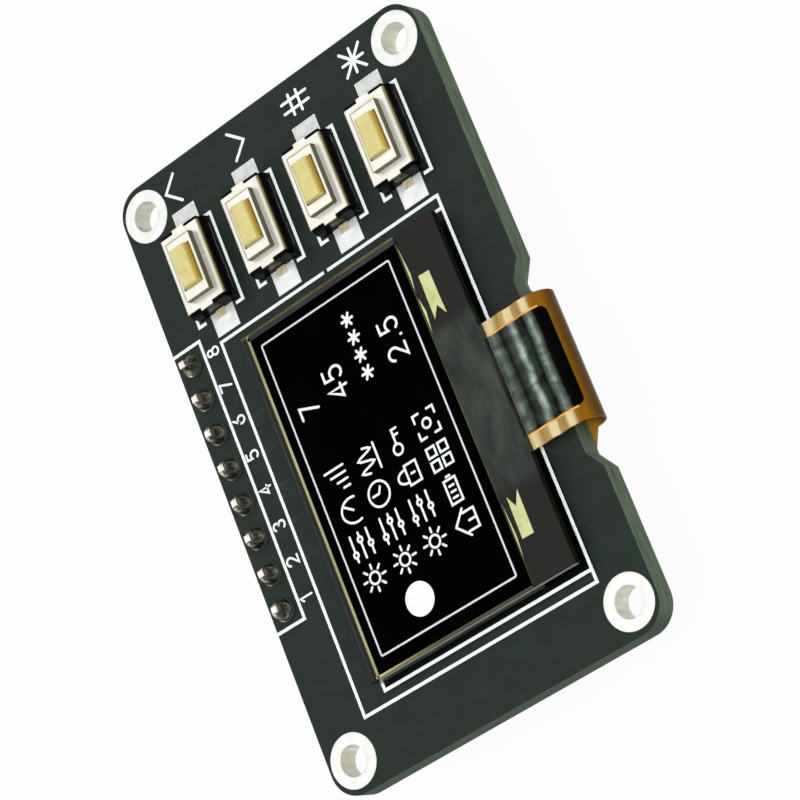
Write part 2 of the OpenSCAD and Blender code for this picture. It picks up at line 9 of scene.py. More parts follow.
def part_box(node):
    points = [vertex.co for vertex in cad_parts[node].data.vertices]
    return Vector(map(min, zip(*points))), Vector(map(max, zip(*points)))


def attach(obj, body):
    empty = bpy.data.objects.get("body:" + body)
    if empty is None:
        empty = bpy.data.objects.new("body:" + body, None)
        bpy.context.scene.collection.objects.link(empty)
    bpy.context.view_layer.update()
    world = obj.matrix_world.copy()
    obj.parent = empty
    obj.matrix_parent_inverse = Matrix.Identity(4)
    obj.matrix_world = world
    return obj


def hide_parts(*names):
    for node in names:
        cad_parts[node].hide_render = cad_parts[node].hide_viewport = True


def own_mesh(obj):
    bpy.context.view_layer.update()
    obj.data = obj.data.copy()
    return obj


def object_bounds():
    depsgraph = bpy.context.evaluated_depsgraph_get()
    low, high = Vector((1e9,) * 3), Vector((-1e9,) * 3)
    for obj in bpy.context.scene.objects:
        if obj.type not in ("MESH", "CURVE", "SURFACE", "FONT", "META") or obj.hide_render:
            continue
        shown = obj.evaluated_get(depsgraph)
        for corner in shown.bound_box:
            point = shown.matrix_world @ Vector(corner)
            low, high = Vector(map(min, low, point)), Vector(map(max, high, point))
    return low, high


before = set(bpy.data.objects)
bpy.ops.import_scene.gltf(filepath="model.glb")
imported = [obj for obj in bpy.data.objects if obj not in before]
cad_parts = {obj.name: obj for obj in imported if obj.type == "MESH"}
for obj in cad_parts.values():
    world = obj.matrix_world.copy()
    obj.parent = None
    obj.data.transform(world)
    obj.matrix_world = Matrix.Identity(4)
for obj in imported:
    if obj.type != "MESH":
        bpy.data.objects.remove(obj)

cad_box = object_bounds()

MM = 0.001


def box_mm(node):
    """The lowest and highest corners of a CAD node, in millimetres."""
    low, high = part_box(node)
    return low / MM, high / MM


def centre_of(node):
    low, high = box_mm(node)
    return (low + high) / 2


BOARD_TOP = box_mm("pcb")[1].z
PLATE_T = 0.05
PRINT_T = 0.02
# how deep a thin thing's lower side lies inside what carries it
SUNK = 0.01
PIN_PITCH = 2.54
PIN_COUNT = 8
PINS = range(1, PIN_COUNT + 1)
HEADER_Y = centre_of("header_pin_1").y
SWITCHES = (1, 2, 3, 4)
SWITCH_X = centre_of("switch_1_base").x
GLASS_LOW, GLASS_HIGH = box_mm("oled_front_glass")
FILM_LOW, FILM_HIGH = box_mm("oled_polariser")
FLEX_LOW, FLEX_HIGH = box_mm("oled_flex_cable")
FLEX_CX = (FLEX_LOW.x + FLEX_HIGH.x) / 2
# the distance between the columns of small parts on the back
PART_PITCH = 2.4
# the angle in degrees from which an edge is shaded sharp: on prints, on bent films and on solder
CRISP = 25
ROUNDED = 50
MOLTEN = 60


def pin_x(i):
    return (i - (PIN_COUNT + 1) / 2) * PIN_PITCH


def spread(start, stop, count):
    return [start + (stop - start) * k / count for k in range(count + 1)]


# ---- mesh helpers: finish_mesh turns all faces outwards ----


def add_object(name, data):
    thing = bpy.data.objects.new(name, data)
    bpy.context.scene.collection.objects.link(thing)
    return thing


def finish_mesh(name, bm, materials, sharp_from=40, pick=None, body="board"):
    """Turns a bmesh in metres into a piece on a body. pick(face) gives a face's material number."""
    bmesh.ops.recalc_face_normals(bm, faces=bm.faces)
    if pick:
        for face in bm.faces:
            face.material_index = pick(face)
    mesh = bpy.data.meshes.new(name)
    bm.to_mesh(mesh)
    bm.free()
    for material in materials:
        mesh.materials.append(material)
    mesh.shade_smooth()
    mesh.set_sharp_from_angle(angle=math.radians(sharp_from))
    piece = add_object(name, mesh)
    weighted = piece.modifiers.new("even_shading", "WEIGHTED_NORMAL")
    weighted.keep_sharp = True
    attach(piece, body)
    return piece


def dressed(node, name, materials, bevel, segments=2, body="board", pick=None, adjust=None):
    """A copy of a CAD node with clean faces and rounded edges, which stands for the node."""
    bm = bmesh.new()
    bm.from_mesh(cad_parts[node].data)
    if adjust:
        adjust(bm)
    bmesh.ops.remove_doubles(bm, verts=bm.verts, dist=0.0005 * MM)
    bmesh.ops.dissolve_limit(bm, angle_limit=math.radians(0.3), verts=bm.verts, edges=bm.edges)
    least = math.radians(32)
    sharp = [e for e in bm.edges if e.is_manifold and e.calc_face_angle() > least]
    bmesh.ops.bevel(
        bm, geom=sharp, offset=bevel * MM, segments=segments, profile=0.5, affect="EDGES",
        clamp_overlap=True,
    )
    piece = finish_mesh(name, bm, materials, pick=pick, body=body)
    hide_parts(node)
    return piece


def add_prism(bm, faces, sides, points, z_low, z_high):
    """Adds a flat shape with thickness. Faces and sides name its points by number."""
    low, high = (
        [bm.verts.new(Vector((x, y, z)) * MM) for x, y in points] for z in (z_low, z_high)
    )
    for face in faces:
        bm.faces.new([high[i] for i in face])
        bm.faces.new([low[i] for i in face])
    for a, b in sides:
        bm.faces.new([low[a], low[b], high[b], high[a]])


def add_polygon(bm, points, z_low, z_high):
    """Adds a flat filled outline with thickness."""
    count = len(points)
    sides = [(i, (i + 1) % count) for i in range(count)]
    add_prism(bm, [range(count)], sides, points, z_low, z_high)


def arc(cx, cy, rx, ry, start, stop, steps=10):
    """Points on an ellipse's arc, its angles in degrees."""
    turn = [math.radians(angle) for angle in spread(start, stop, steps)]
    return [(cx + rx * math.cos(a), cy + ry * math.sin(a)) for a in turn]


def round_box(x0, y0, x1, y1, r, steps=5):
    """A rectangle with round corners, as a closed outline."""
    corners = ((x1 - r, y1 - r, 0), (x0 + r, y1 - r, 90), (x0 + r, y0 + r, 180), (x1 - r, y0 + r, 270))
    return [p for x, y, a in corners for p in arc(x, y, r, r, a, a + 90, steps)]


def stroke_sides(points, width, closed):
    """The left and right points of a line of the given width, mitred at its corners."""
    spots = [Vector(p) for p in points]
    steps = [(b - a).normalized() for a, b in zip(spots, spots[1:] + spots[:1])]
    if not closed:
        steps[-1] = steps[-2]
    left, right = [], []
    for i, spot in enumerate(spots):
        before = steps[i - 1] if closed or i else steps[0]
        along = (before + steps[i]).normalized()
        reach = min(width / 2 / max(abs(along.dot(before)), 0.3), width)
        side = Vector((-along.y, along.x)) * reach
        left.append(tuple(spot + side))
        right.append(tuple(spot - side))
    return left, right


def cap_points(end, beside, width):
    """Points of a round cap at the end of a line, from its left side to its right."""
    start = math.degrees(math.atan2(end[1] - beside[1], end[0] - beside[0])) + 90
    return arc(*end, width / 2, width / 2, start, start - 180, 6)[1:-1]


def add_stroke(bm, points, width, z_low, z_high, closed=False):
    """Adds a line of even width with round ends, as a thin solid."""
    left, right = stroke_sides(points, width, closed)
    count = len(points)
    every = left + right
    steps = range(count if closed else count - 1)
    faces = [[i, count + i, count + (i + 1) % count, (i + 1) % count] for i in steps]
    pairs = [(i, (i + 1) % count) for i in steps]
    pairs += [(count + (i + 1) % count, count + i) for i in steps]
    if not closed:
        last = count - 1
        for end, beside, start, stop in ((last, last - 1, last, count + last), (0, 1, count, 0)):
            cap = cap_points(points[end], points[beside], width)
            rim = [start, *range(len(every), len(every) + len(cap)), stop]
            every += cap
            faces.append(rim)
            pairs += zip(rim[:-1], rim[1:])
    add_prism(bm, faces, pairs, every, z_low, z_high)


def draw(bm, strokes, width, z_low, z_high):
    """Adds a sign's strokes. Each lies a hair above the one before, so that crossings stay clean."""
    hair = 0.0006
    for n, (points, closed) in enumerate(strokes):
        add_stroke(bm, points, width, z_low, z_high + n * hair, closed)


def add_grid_solid(bm, outer, inner):
    """Adds a thin curved solid between two grids of points, rows by columns, in millimetres."""
    rows, cols = len(outer), len(outer[0])
    top, low = ([[bm.verts.new(Vector(p) * MM) for p in row] for row in grid] for grid in (outer, inner))
    for i in range(rows - 1):
        for j in range(cols - 1):
            for grid in (top, low):
                bm.faces.new([grid[i][j], grid[i][j + 1], grid[i + 1][j + 1], grid[i + 1][j]])
        for j in (0, cols - 1):
            bm.faces.new([top[i][j], top[i + 1][j], low[i + 1][j], low[i][j]])
    for i in (0, rows - 1):
        for j in range(cols - 1):
            bm.faces.new([top[i][j], top[i][j + 1], low[i][j + 1], low[i][j]])


def add_ring(bm, profile, centre, steps, shape=lambda angle, radius: radius):
    """Adds a closed profile of (radius, z), turned round a vertical axis. shape varies its radius."""
    def place(a, radius, z):
        r = shape(a, radius)
        return Vector((centre[0] + r * math.cos(a), centre[1] + r * math.sin(a), z)) * MM
    turn = [2 * math.pi * k / steps for k in range(steps)]
    rings = [[bm.verts.new(place(a, *point)) for point in profile] for a in turn]
    for here, there in zip(rings, rings[1:] + rings[:1]):
        for i in range(len(profile)):
            bm.faces.new([here[i - 1], there[i - 1], there[i], here[i]])


# ---- material helpers ----


def screen(r, g, b):
    """A colour given as it shows on a screen, 0 to 255, turned into linear light."""
    def one(c):
        c /= 255
        return c / 12.92 if c <= 0.04045 else ((c + 0.055) / 1.055) ** 2.4
    return (one(r), one(g), one(b), 1.0)


class Graph:
    """The nodes of a material or of the world. A value is a number, a colour or a node's output."""

    def __init__(self, owner):
        owner.use_nodes = True
        self.nodes = owner.node_tree.nodes
        self.links = owner.node_tree.links

    def put(self, socket, value):
        """Joins a socket to an output, or gives it a number or a colour."""
        if isinstance(value, bpy.types.NodeSocket):
            self.links.new(value, socket)
        else:
            socket.default_value = value

    def add(self, kind, inputs=None, **settings):
        """A new node with its settings, and with values for its inputs by name or number."""
        node = self.nodes.new(kind)
        for name, value in settings.items():
            setattr(node, name, value)
        for socket, value in (inputs or {}).items():
            self.put(node.inputs[socket], value)
        return node

    def combine(self, operation, a, b):
        """A sum or the like of two values."""
        return self.add("ShaderNodeMath", {0: a, 1: b}, operation=operation).outputs["Value"]

    def times(self, a, b):
        return self.combine("MULTIPLY", a, b)

    def span(self, factor, low, high, to_low=0.0, to_high=1.0, smooth=True):
        """A factor's range from low to high, mapped to another range and held at its ends."""
        limits = {"From Min": low, "From Max": high, "To Min": to_low, "To Max": to_high}
        style = "SMOOTHSTEP" if smooth else "LINEAR"
        node = self.add("ShaderNodeMapRange", {"Value": factor, **limits}, interpolation_type=style)
        return node.outputs["Result"]


# a Mix node's sockets for colours, which share their names with those for numbers
COLOUR_A, COLOUR_B, COLOUR_RESULT = 6, 7, 2


class Surface(Graph):
    """A material: one Principled shader, and what varies it by noise and by place.

    Colours are given as they show on a screen, and sizes and places in millimetres. Roughness is a
    number, or the lowest, the highest and the size of its noise. Relief is what bump takes.
    """

    def __init__(self, name, roughness, relief=None, metallic=0.0, specular=0.5):
        self.material = bpy.data.materials.new(name)
        super().__init__(self.material)
        self.shader = self.nodes["Principled BSDF"]
        self.coords = self.add("ShaderNodeTexCoord").outputs["Object"]
        self.set("Metallic", metallic)
        self.set("Specular IOR Level", specular)
        if isinstance(roughness, tuple):
            self.vary_roughness(*roughness)
        else:
            self.set("Roughness", roughness)
        if relief:
            self.bump(*relief)

    def set(self, socket, value):
        """Sets one of the shader's inputs."""
        self.put(self.shader.inputs[socket], value)

    def noise(self, size, stretch=(1, 1, 1), detail=3.0, distortion=0.0):
        """Noise with features of about the given size, drawn out by stretch along each axis."""
        scale = [1 / (size * MM * s) for s in stretch]
        mapped = self.add("ShaderNodeMapping", {"Vector": self.coords, "Scale": scale})
        return self.add("ShaderNodeTexNoise", {
            "Vector": mapped.outputs["Vector"], "Scale": 1.0, "Detail": detail,
            "Distortion": distortion,
        }).outputs["Fac"]

    def ramp(self, factor, stops):
        """Colours by factor, from pairs of a place and a colour. A lone number is a grey value."""
        node = self.add("ShaderNodeValToRGB", {"Fac": factor})
        elements = node.color_ramp.elements
        while len(elements) < len(stops):
            elements.new(0.5)
        for element, (place, colour) in zip(elements, stops):
            element.position = place
            grey = isinstance(colour, float)
            element.color = (colour, colour, colour, 1) if grey else screen(*colour)
        return node.outputs["Color"]

    def grain(self, dark, light, size, stretch=(1, 1, 1), detail=3.0):
        """Noise between two colours."""
        return self.ramp(self.noise(size, stretch, detail), [(0.3, dark), (0.7, light)])

    def blend(self, factor, a, b):
        """Colour a where factor is 0 and b where it is 1. Each is a colour or an output."""
        a, b = (screen(*c) if isinstance(c, tuple) else c for c in (a, b))
        sockets = {"Factor": factor, COLOUR_A: a, COLOUR_B: b}
        return self.add("ShaderNodeMix", sockets, data_type="RGBA").outputs[COLOUR_RESULT]

    def axis(self, name, vector=None):
        """One coordinate of the object, in metres, or one part of another vector."""
        return self.add("ShaderNodeSeparateXYZ", {"Vector": vector or self.coords}).outputs[name]

    def along(self, name, low, high, smooth=True):
        """How far a place is on the way from low to high on an axis, from 0 to 1."""
        return self.span(self.axis(name), low * MM, high * MM, smooth=smooth)

    def facing(self, name, low, high):
        """How far the normal's part on an axis is on the way from low to high, from 0 to 1."""
        normal = self.add("ShaderNodeNewGeometry").outputs["Normal"]
        return self.span(self.axis(name, normal), low, high)

    def colour(self, output):
        self.set("Base Color", output)

    def vary_roughness(self, low, high, size, stretch=(1, 1, 1)):
        self.set("Roughness", self.span(self.noise(size, stretch), 0.3, 0.7, low, high))

    def bump(self, height, size, stretch=(1, 1, 1), detail=2.0):
        """Gives the surface a relief of the given height, from noise."""
        noise = self.noise(size, stretch, detail)
        relief = self.add("ShaderNodeBump", {"Strength": 1.0, "Distance": height * MM, "Height": noise})
        self.set("Normal", relief.outputs["Normal"])


# ---- materials ----


# the distance between switches, and how far a cover's folded edge lies from the switch's middle
SWITCH_PITCH = 5.55
COVER_EDGE = box_mm("switch_1_cover")[0].y - centre_of("switch_1_base").y


def mottled(name, dark, light, roughness, size=0.4, relief=(0.005, 0.2), stretch=(1, 1, 1),
            detail=3.0, **looks):
    """A material that varies between two colours, in patches of about the given size."""
    s = Surface(name, roughness, relief, **looks)
    s.colour(s.grain(dark, light, size, stretch, detail))
    return s.material


def solder_mask():
    """Black mask with a green cast, with painted shade, near black, in the narrow gap under the display.
    """
    s = Surface("solder_mask", (0.3, 0.38, 2.0), (0.001, 0.25), specular=0.14)
    along = s.times(s.along("X", -17.3, -16.8), s.along("X", 8.4, 7.9))
    across = s.times(s.along("Y", -10.15, -9.85), s.along("Y", 7.2, 6.9))
    # painted shade: under the display's footprint and beside its ledge the mask turns near black
    gap = s.times(s.times(along, across), s.along("Z", 1.2, 1.5))
    s.colour(s.blend(gap, s.grain((30, 38, 34), (36, 44, 40), 1.4), (6, 8, 7)))
    return s.material


def board_laminate():
    """The board's cut edge: layers of weave with whitish fibres, with painted shade, a darker green, on
    the faces that look towards the near end at −X.
    """
    s = Surface("board_laminate", 0.7, (0.014, 0.25, (4, 4, 1)), specular=0.2)
    weave = s.grain((68, 82, 65), (94, 108, 88), 0.3, (6, 6, 1), 2.0)
    fibres = s.span(s.noise(1.1, (3, 3, 0.5), 4.0), 0.58, 0.78, 0.0, 0.4)
    cut = s.blend(fibres, weave, (140, 150, 132))
    # painted shade: faces that look towards −X get a darker green
    s.colour(s.blend(s.facing("X", -0.5, -0.95), cut, (58, 72, 60)))
    return s.material


def cover_metal():
    """Plated sheet: cream on its flats, with painted shade that turns its walls dark, and painted
    yellowish shading where it folds down.
    """
    s = Surface("cover_metal", (0.26, 0.36, 0.5, (4, 1, 1)), metallic=0.65)
    sheet = s.grain((243, 240, 226), (252, 251, 242), 0.9, (3, 1, 1))
    # every cover lies alike in its own stretch of the column of switches
    place = s.combine("FLOORED_MODULO", s.axis("Y"), SWITCH_PITCH * MM)
    fold_at = SWITCH_PITCH / 2 + COVER_EDGE
    # painted yellowish shading along the fold at the sheet's edge
    fold = s.span(place, (fold_at + 0.24) * MM, (fold_at + 0.02) * MM)
    fold_shaded = s.blend(fold, sheet, (176, 158, 92))
    # painted shade: faces that don't look up turn dark olive
    wall_shaded = s.blend(s.facing("Z", 0.2, 0.8), (112, 108, 84), fold_shaded)
    # painted shade: the parts that hang below the flats go near black
    s.colour(s.blend(s.along("Z", 3.02, 2.84), wall_shaded, (22, 19, 13)))
    return s.material


def plunger_plastic():
    """Yellowish plastic, with painted shade, brownish, on the sides that face the flex cable."""
    s = Surface("plunger_plastic", 0.42, (0.004, 0.15), specular=0.25)
    body = s.grain((200, 189, 124), (212, 202, 142), 0.7)
    # painted shade on the sides that face −Y, towards the flex cable
    s.colour(s.blend(s.facing("Y", -0.3, -0.95), body, (178, 148, 58)))
    s.set("Subsurface Weight", 0.15)
    s.set("Subsurface Radius", (0.4 * MM, 0.3 * MM, 0.15 * MM))
    s.set("Subsurface Scale", 1.0)
    return s.material


def panel_glass():
    """Dark glass. Over the driver chip it shows the clouded film behind it."""
    s = Surface("panel_glass", 0.06, (0.0012, 1.6), specular=0.2)
    clouds = s.noise(0.9, (4, 1.6, 1), 4.0, 0.6)
    film = s.ramp(clouds, [(0.36, (28, 32, 29)), (0.72, (58, 65, 58))])
    over_chip = s.times(s.along("X", -11.0, -9.6), s.along("X", 1.4, 0.2))
    ledge = s.blend(over_chip, (24, 22, 18), film)
    # beyond the film the far margin is olive, and grey-green where the board shows through
    margin = s.blend(s.along("Y", 6.6, 6.74), (24, 26, 8), (24, 30, 26))
    s.colour(s.blend(s.along("Y", 6.0, 6.1), ledge, margin))
    return s.material


def seal_line(name, dark, light):
    """Painted highlights: lines that shine olive and grey along the lit edges of the glass and the
    polariser.
    """
    return mottled(name, dark, light, 0.4, 2.6, (0.004, 0.2), (1.6, 1.6, 1), 4.0, specular=0.2)


def fading_seal():
    """A painted highlight along the near end: bright at the header's side, and dim along the rest."""
    s = Surface("fading_seal", 0.4, (0.004, 0.2), specular=0.2)
    tones = [(0.0, (62, 60, 42)), (0.6, (78, 75, 50)), (0.8, (132, 126, 74)), (0.95, (190, 184, 116))]
    s.colour(s.ramp(s.along("Y", -7.0, 6.5, smooth=False), tones))
    return s.material


def lit_pixels(name, glow):
    s = Surface(name, 0.4, specular=0.2)
    s.colour(s.grain((186, 189, 192), (198, 200, 202), 0.16, detail=1.0))
    s.set("Emission Strength", glow)
    s.set("Emission Color", screen(250, 253, 255))
    return s.material


def creases(s):
    """How strong the painted highlights are at a place on the flex cable's neck, highest on its creases,
    from 0 to 1.
    """
    wander = 0.1 * MM
    drift = s.span(s.noise(2.4, (1, 2, 1), 2.0), 0.3, 0.7, -wander, wander)
    place = s.span(s.combine("ADD", s.axis("Y"), drift), -13.7 * MM, -9.45 * MM, smooth=False)
    heights = [
        (0.06, 0.0), (0.17, 0.7), (0.27, 0.06), (0.4, 0.16), (0.48, 1.0), (0.57, 0.22),
        (0.7, 0.06), (0.84, 0.5), (0.97, 0.24),
    ]
    return s.ramp(place, heights)


def polyimide():
    """The flex cable's amber film, with painted highlights on its neck's creases and painted shade round
    the bend.
    """
    s = Surface("polyimide", (0.18, 0.3, 0.8), (0.004, 0.9, (3, 1, 1)), specular=0.07)
    tone = s.grain((132, 90, 22), (158, 114, 38), 1.5, (1.5, 1, 1), 4.0)
    # painted highlights: light streaks on the creases of the flat neck
    glints = s.times(s.span(creases(s), 0.04, 0.5, 0.15, 0.9), s.along("Z", 1.6, 1.9))
    glint_painted = s.blend(glints, tone, (214, 198, 152))
    # painted shade: darker amber round the bend, darkest where it turns away
    bend_shaded = s.blend(s.along("Y", -13.0, -13.6), glint_painted, (126, 84, 12))
    s.colour(s.blend(s.along("Y", -13.95, -14.36), bend_shaded, (84, 54, 6)))
    return s.material


def black_coverlay():
    """The flex cable's black cover film, with painted reflections as silvery streaks on its creases."""
    s = Surface("black_coverlay", (0.14, 0.24, 0.7), (0.004, 0.7, (3, 1, 1)), specular=0.03)
    # painted reflections: silvery streaks, broken up by noise
    reflection_breakup = s.span(s.noise(0.9, (1, 1.4, 1), 3.0, 0.6), 0.34, 0.66, 0.5, 1.0)
    tones = [(0.03, (4, 5, 5)), (0.3, (76, 86, 78)), (0.9, (164, 180, 168))]
    s.colour(s.ramp(s.times(creases(s), reflection_breakup), tones))
    return s.material


# After a mottled material's two colours come its roughness, the size of its patches and its relief.

# the board, its plating and its print
MASK = solder_mask()
TRACK = mottled("mask_over_track", (37, 45, 40), (43, 51, 46), 0.34, 1.1, (0.001, 0.25), specular=0.16)
LAMINATE = board_laminate()
TIN = mottled(
    "tin_plate", (238, 238, 233), (250, 250, 247), (0.34, 0.44, 0.8), 0.6, (0.002, 0.35), metallic=0.5,
)
# painted shade: the plating inside the holes is darker and more olive than on the faces
SHADED_BORE = mottled(
    "shaded_bore_plate", (192, 192, 168), (232, 232, 220), 0.4, 0.5, (0.01, 0.3, (1, 1, 4)), (1, 1, 3),
    metallic=0.5,
)
INK = mottled("white_ink", (226, 233, 233), (246, 250, 250), 0.6, 0.3, (0.004, 0.08), specular=0.3)

# solder: clean; greyer on the switches' far lands, where the grey is painted shade; and brownish grey at
# the header, a darkening that is a painted dark reflection
SOLDER = mottled("bright_solder", (232, 234, 232), (248, 250, 248), 0.34, 0.9, (0.003, 0.7), metallic=0.5)
SHADED_SOLDER = mottled(
    "shaded_solder", (204, 207, 204), (230, 231, 228), 0.36, 0.6, (0.004, 0.6), metallic=0.5,
)
# painted dark reflection: the header's solder is darkened to brownish grey
SOLDER_DARK_REFLECTION = mottled(
    "solder_dark_reflection", (122, 118, 104), (164, 160, 146), (0.22, 0.36, 0.5), 0.7, (0.003, 0.5), metallic=1.0,
)

# the header
HEADER_PLASTIC = mottled(
    "header_plastic", (22, 22, 24), (31, 31, 33), (0.42, 0.6, 0.8), 0.6, (0.008, 0.12), specular=0.4,
)
PIN_METAL = mottled(
    "pin_metal", (190, 184, 166), (224, 219, 203), (0.16, 0.32, 0.4, (1, 1, 6)), 0.7,
    (0.003, 0.1, (1, 1, 10)), (1, 1, 4), metallic=1.0,
)
# the pin tips' near white is a painted highlight on their upward faces
PIN_TIP_HIGHLIGHT = mottled("pin_tip", (246, 243, 233), (254, 253, 249), 0.4, 0.3, (0.004, 0.15), metallic=0.2)

# the switches
SWITCH_PLASTIC = mottled(
    "switch_plastic", (4, 4, 5), (9, 9, 10), 0.36, 0.8, (0.01, 1.6, (1.6, 1, 0.7), 1.0), specular=0.04,
)
# painted reflection: the thin wavy grey line on the switch bases' glossy near walls
WALL_REFLECTION_LINE = mottled("wall_reflection_line", (52, 54, 52), (150, 152, 148), 0.4, 0.9, (0.002, 0.1), specular=0.4)
COVER_METAL = cover_metal()
# painted shade along the rounded far edges of the covers' raised middles
CREASE_SHADE_LINE = mottled("cover_crease_shade", (160, 153, 130), (182, 175, 152), 0.4)
PLUNGER_PLASTIC = plunger_plastic()
SPRING_STEEL = mottled(
    "spring_steel", (190, 190, 184), (216, 216, 210), 0.25, relief=(0.003, 0.1, (6, 1, 1)), metallic=1.0,
)
TERMINAL_METAL = mottled(
    "terminal_metal", (208, 196, 152), (234, 225, 192), 0.38, 0.3, (0.006, 0.15), metallic=0.5,
)

# the display
PANEL_GLASS = panel_glass()
CAP_GLASS = mottled("cap_glass", (46, 50, 42), (84, 88, 70), 0.1, 1.2, (0.004, 0.3), (3, 3, 0.3))
# painted highlights along the lit edges of the display's panes
BRIGHT_EDGE_HIGHLIGHT = seal_line("bright_edge_highlight", (132, 134, 94), (168, 170, 132))
DULL_EDGE_HIGHLIGHT = seal_line("dull_edge_highlight", (58, 56, 36), (96, 92, 62))
GREY_EDGE_HIGHLIGHT = seal_line("grey_edge_highlight", (30, 32, 33), (52, 54, 52))
FADING_EDGE_HIGHLIGHT = fading_seal()
POLARISER = mottled(
    "polariser_film", (0, 0, 1), (2, 2, 3), (0.1, 0.18, 3.0), 3.0, (0.0008, 1.5), specular=0.006,
)
LEDGE_PAD = mottled("ledge_pad", (176, 182, 120), (206, 210, 156), 0.35, 0.7, (0.003, 0.15), specular=0.4)
LIT = lit_pixels("lit_pixels", 0.34)
DIM_LIT = lit_pixels("dim_pixels", 0.1)
FOAM = mottled("foam_tape", (10, 10, 11), (26, 26, 27), 0.85, 0.15, (0.03, 0.12), specular=0.2)
SILICON = mottled("silicon", (74, 76, 82), (98, 100, 106), 0.2)
RESIN = mottled("bond_resin", (60, 64, 58), (84, 88, 80), 0.2)
DRYING_SHEET = mottled("drying_sheet", (206, 202, 186), (222, 219, 206), 0.8)
EMITTER = mottled("emitter_film", (8, 8, 10), (16, 16, 20), 0.3)

# the flex cable
POLYIMIDE = polyimide()
COVERLAY = black_coverlay()
# raised adhesive lines whose bright orange is a painted highlight
ADHESIVE_HIGHLIGHT = mottled("adhesive_edge_highlight", (214, 128, 44), (250, 190, 104), 0.25, 0.8, (0.004, 0.1), (1, 2, 1))
COPPER = mottled("copper_under_film", (116, 60, 16), (150, 90, 34), 0.26, 0.6, (0.004, 0.2), metallic=0.4)

# the small parts on the back
CAPACITOR = mottled("capacitor_ceramic", (142, 108, 72), (172, 136, 98), 0.45)
RESISTOR = mottled("resistor_coat", (18, 18, 20), (32, 32, 35), 0.35)
MOULDING = mottled("regulator_moulding", (24, 24, 26), (38, 38, 40), 0.55, 0.2, (0.005, 0.1))


# ---- camera, lights and floor ----


def aim(thing, place, target, roll=0.0):
    """Points a camera or lamp from place to target, both in millimetres, and rolls it in degrees."""
    direction = (Vector(target) - Vector(place)).normalized()
    turn = direction.to_track_quat("-Z", "Y").to_matrix()
    spin = Matrix.Rotation(math.radians(roll), 3, "Z")
    thing.matrix_world = (turn @ spin).to_4x4()
    thing.location = Vector(place) * MM


def make_camera():
    """The camera looks down at the board's near left corner, turned so that the header is at left."""
    azimuth, elevation, distance = math.radians(-32.913), math.radians(54.024), 204.715
    target = Vector((-1.062, -1.734, BOARD_TOP))
    back = Vector((
        math.sin(azimuth) * math.cos(elevation),
        -math.cos(azimuth) * math.cos(elevation),
        math.sin(elevation),
    ))
    data = bpy.data.cameras.new("camera")
    data.lens = 147.2
    data.sensor_width = 36
    data.clip_start, data.clip_end = 0.01, 20
    camera = add_object("camera", data)
    aim(camera, target + back * distance, target, roll=-84.198)
    bpy.context.scene.camera = camera


def area_light(name, direction, size, watts, mirrored=True):
    """A round lamp that points at the origin. One that isn't mirrored shows in no reflection."""
    distance = 420
    data = bpy.data.lights.new(name, "AREA")
    data.shape = "DISK"
    data.size = size * MM
    data.energy = watts
    lamp = add_object(name, data)
    aim(lamp, Vector(direction).normalized() * distance, (0, 0, 0))
    lamp.visible_glossy = mirrored


def make_lights():
    """A key from above, a wide fill by the camera, and low ones at the flex and header sides."""
    area_light("key_light", (-0.15, -0.15, 0.98), 240, 0.85, mirrored=False)
    area_light("front_fill", (-0.32, -0.49, 0.81), 300, 0.8, mirrored=False)
    area_light("side_fill", (0.3, -0.9, 0.3), 300, 0.1, mirrored=False)
    area_light("rim_light", (-0.3, 0.92, 0.27), 200, 0.35)


def seen_by(graph, *kinds):
    """1 for rays of the given kinds and 0 for all others."""
    path = graph.add("ShaderNodeLightPath")
    seen = path.outputs[kinds[0]]
    for kind in kinds[1:]:
        seen = graph.combine("MAXIMUM", seen, path.outputs[kind])
    return seen


def choose(graph, factor, a, b):
    """The value a where factor is 0 and b where it is 1."""
    return graph.add("ShaderNodeMix", {"Factor": factor, "A": a, "B": b}).outputs["Result"]


def make_world():
    """A plain world: white to the camera, and in reflections a broad bright side beyond the board."""
    ambient, dark_side = 0.38, 0.16
    bright_side = Vector((0.3, 0.4, 0.87)).normalized()
    world = bpy.data.worlds.new("studio")
    bpy.context.scene.world = world
    graph = Graph(world)
    view = graph.add("ShaderNodeTexCoord").outputs["Generated"]
    toward = graph.add("ShaderNodeVectorMath", {0: view, 1: bright_side}, operation="DOT_PRODUCT")
    mirrored = graph.span(toward.outputs["Value"], 0.68, 0.86, dark_side, 1.0, smooth=False)
    direct = seen_by(graph, "Is Camera Ray", "Is Transmission Ray")
    light = choose(graph, direct, ambient, 1.0)
    background = graph.nodes["Background"]
    graph.put(background.inputs["Color"], (1, 1, 1, 1))
    strength = choose(graph, seen_by(graph, "Is Glossy Ray"), light, mirrored)
    graph.put(background.inputs["Strength"], strength)


def floor_material():
    """Pale matt floor that shows white, and still takes a light shadow."""
    material = bpy.data.materials.new("pale_floor")
    graph = Graph(material)
    matt = graph.nodes["Principled BSDF"]
    graph.put(matt.inputs["Base Color"], (0.7, 0.7, 0.7, 1))
    graph.put(matt.inputs["Roughness"], 0.9)
    graph.put(matt.inputs["Specular IOR Level"], 0.0)
    white = graph.add("ShaderNodeEmission", {"Color": (1, 1, 1, 1), "Strength": 1.0})
    seen = seen_by(graph, "Is Camera Ray", "Is Glossy Ray", "Is Transmission Ray")
    whiteness = graph.times(seen, 0.95)
    mix = graph.add("ShaderNodeMixShader", {
        "Fac": whiteness, 1: matt.outputs["BSDF"], 2: white.outputs["Emission"],
    })
    graph.put(graph.nodes["Material Output"].inputs["Surface"], mix.outputs["Shader"])
    return material


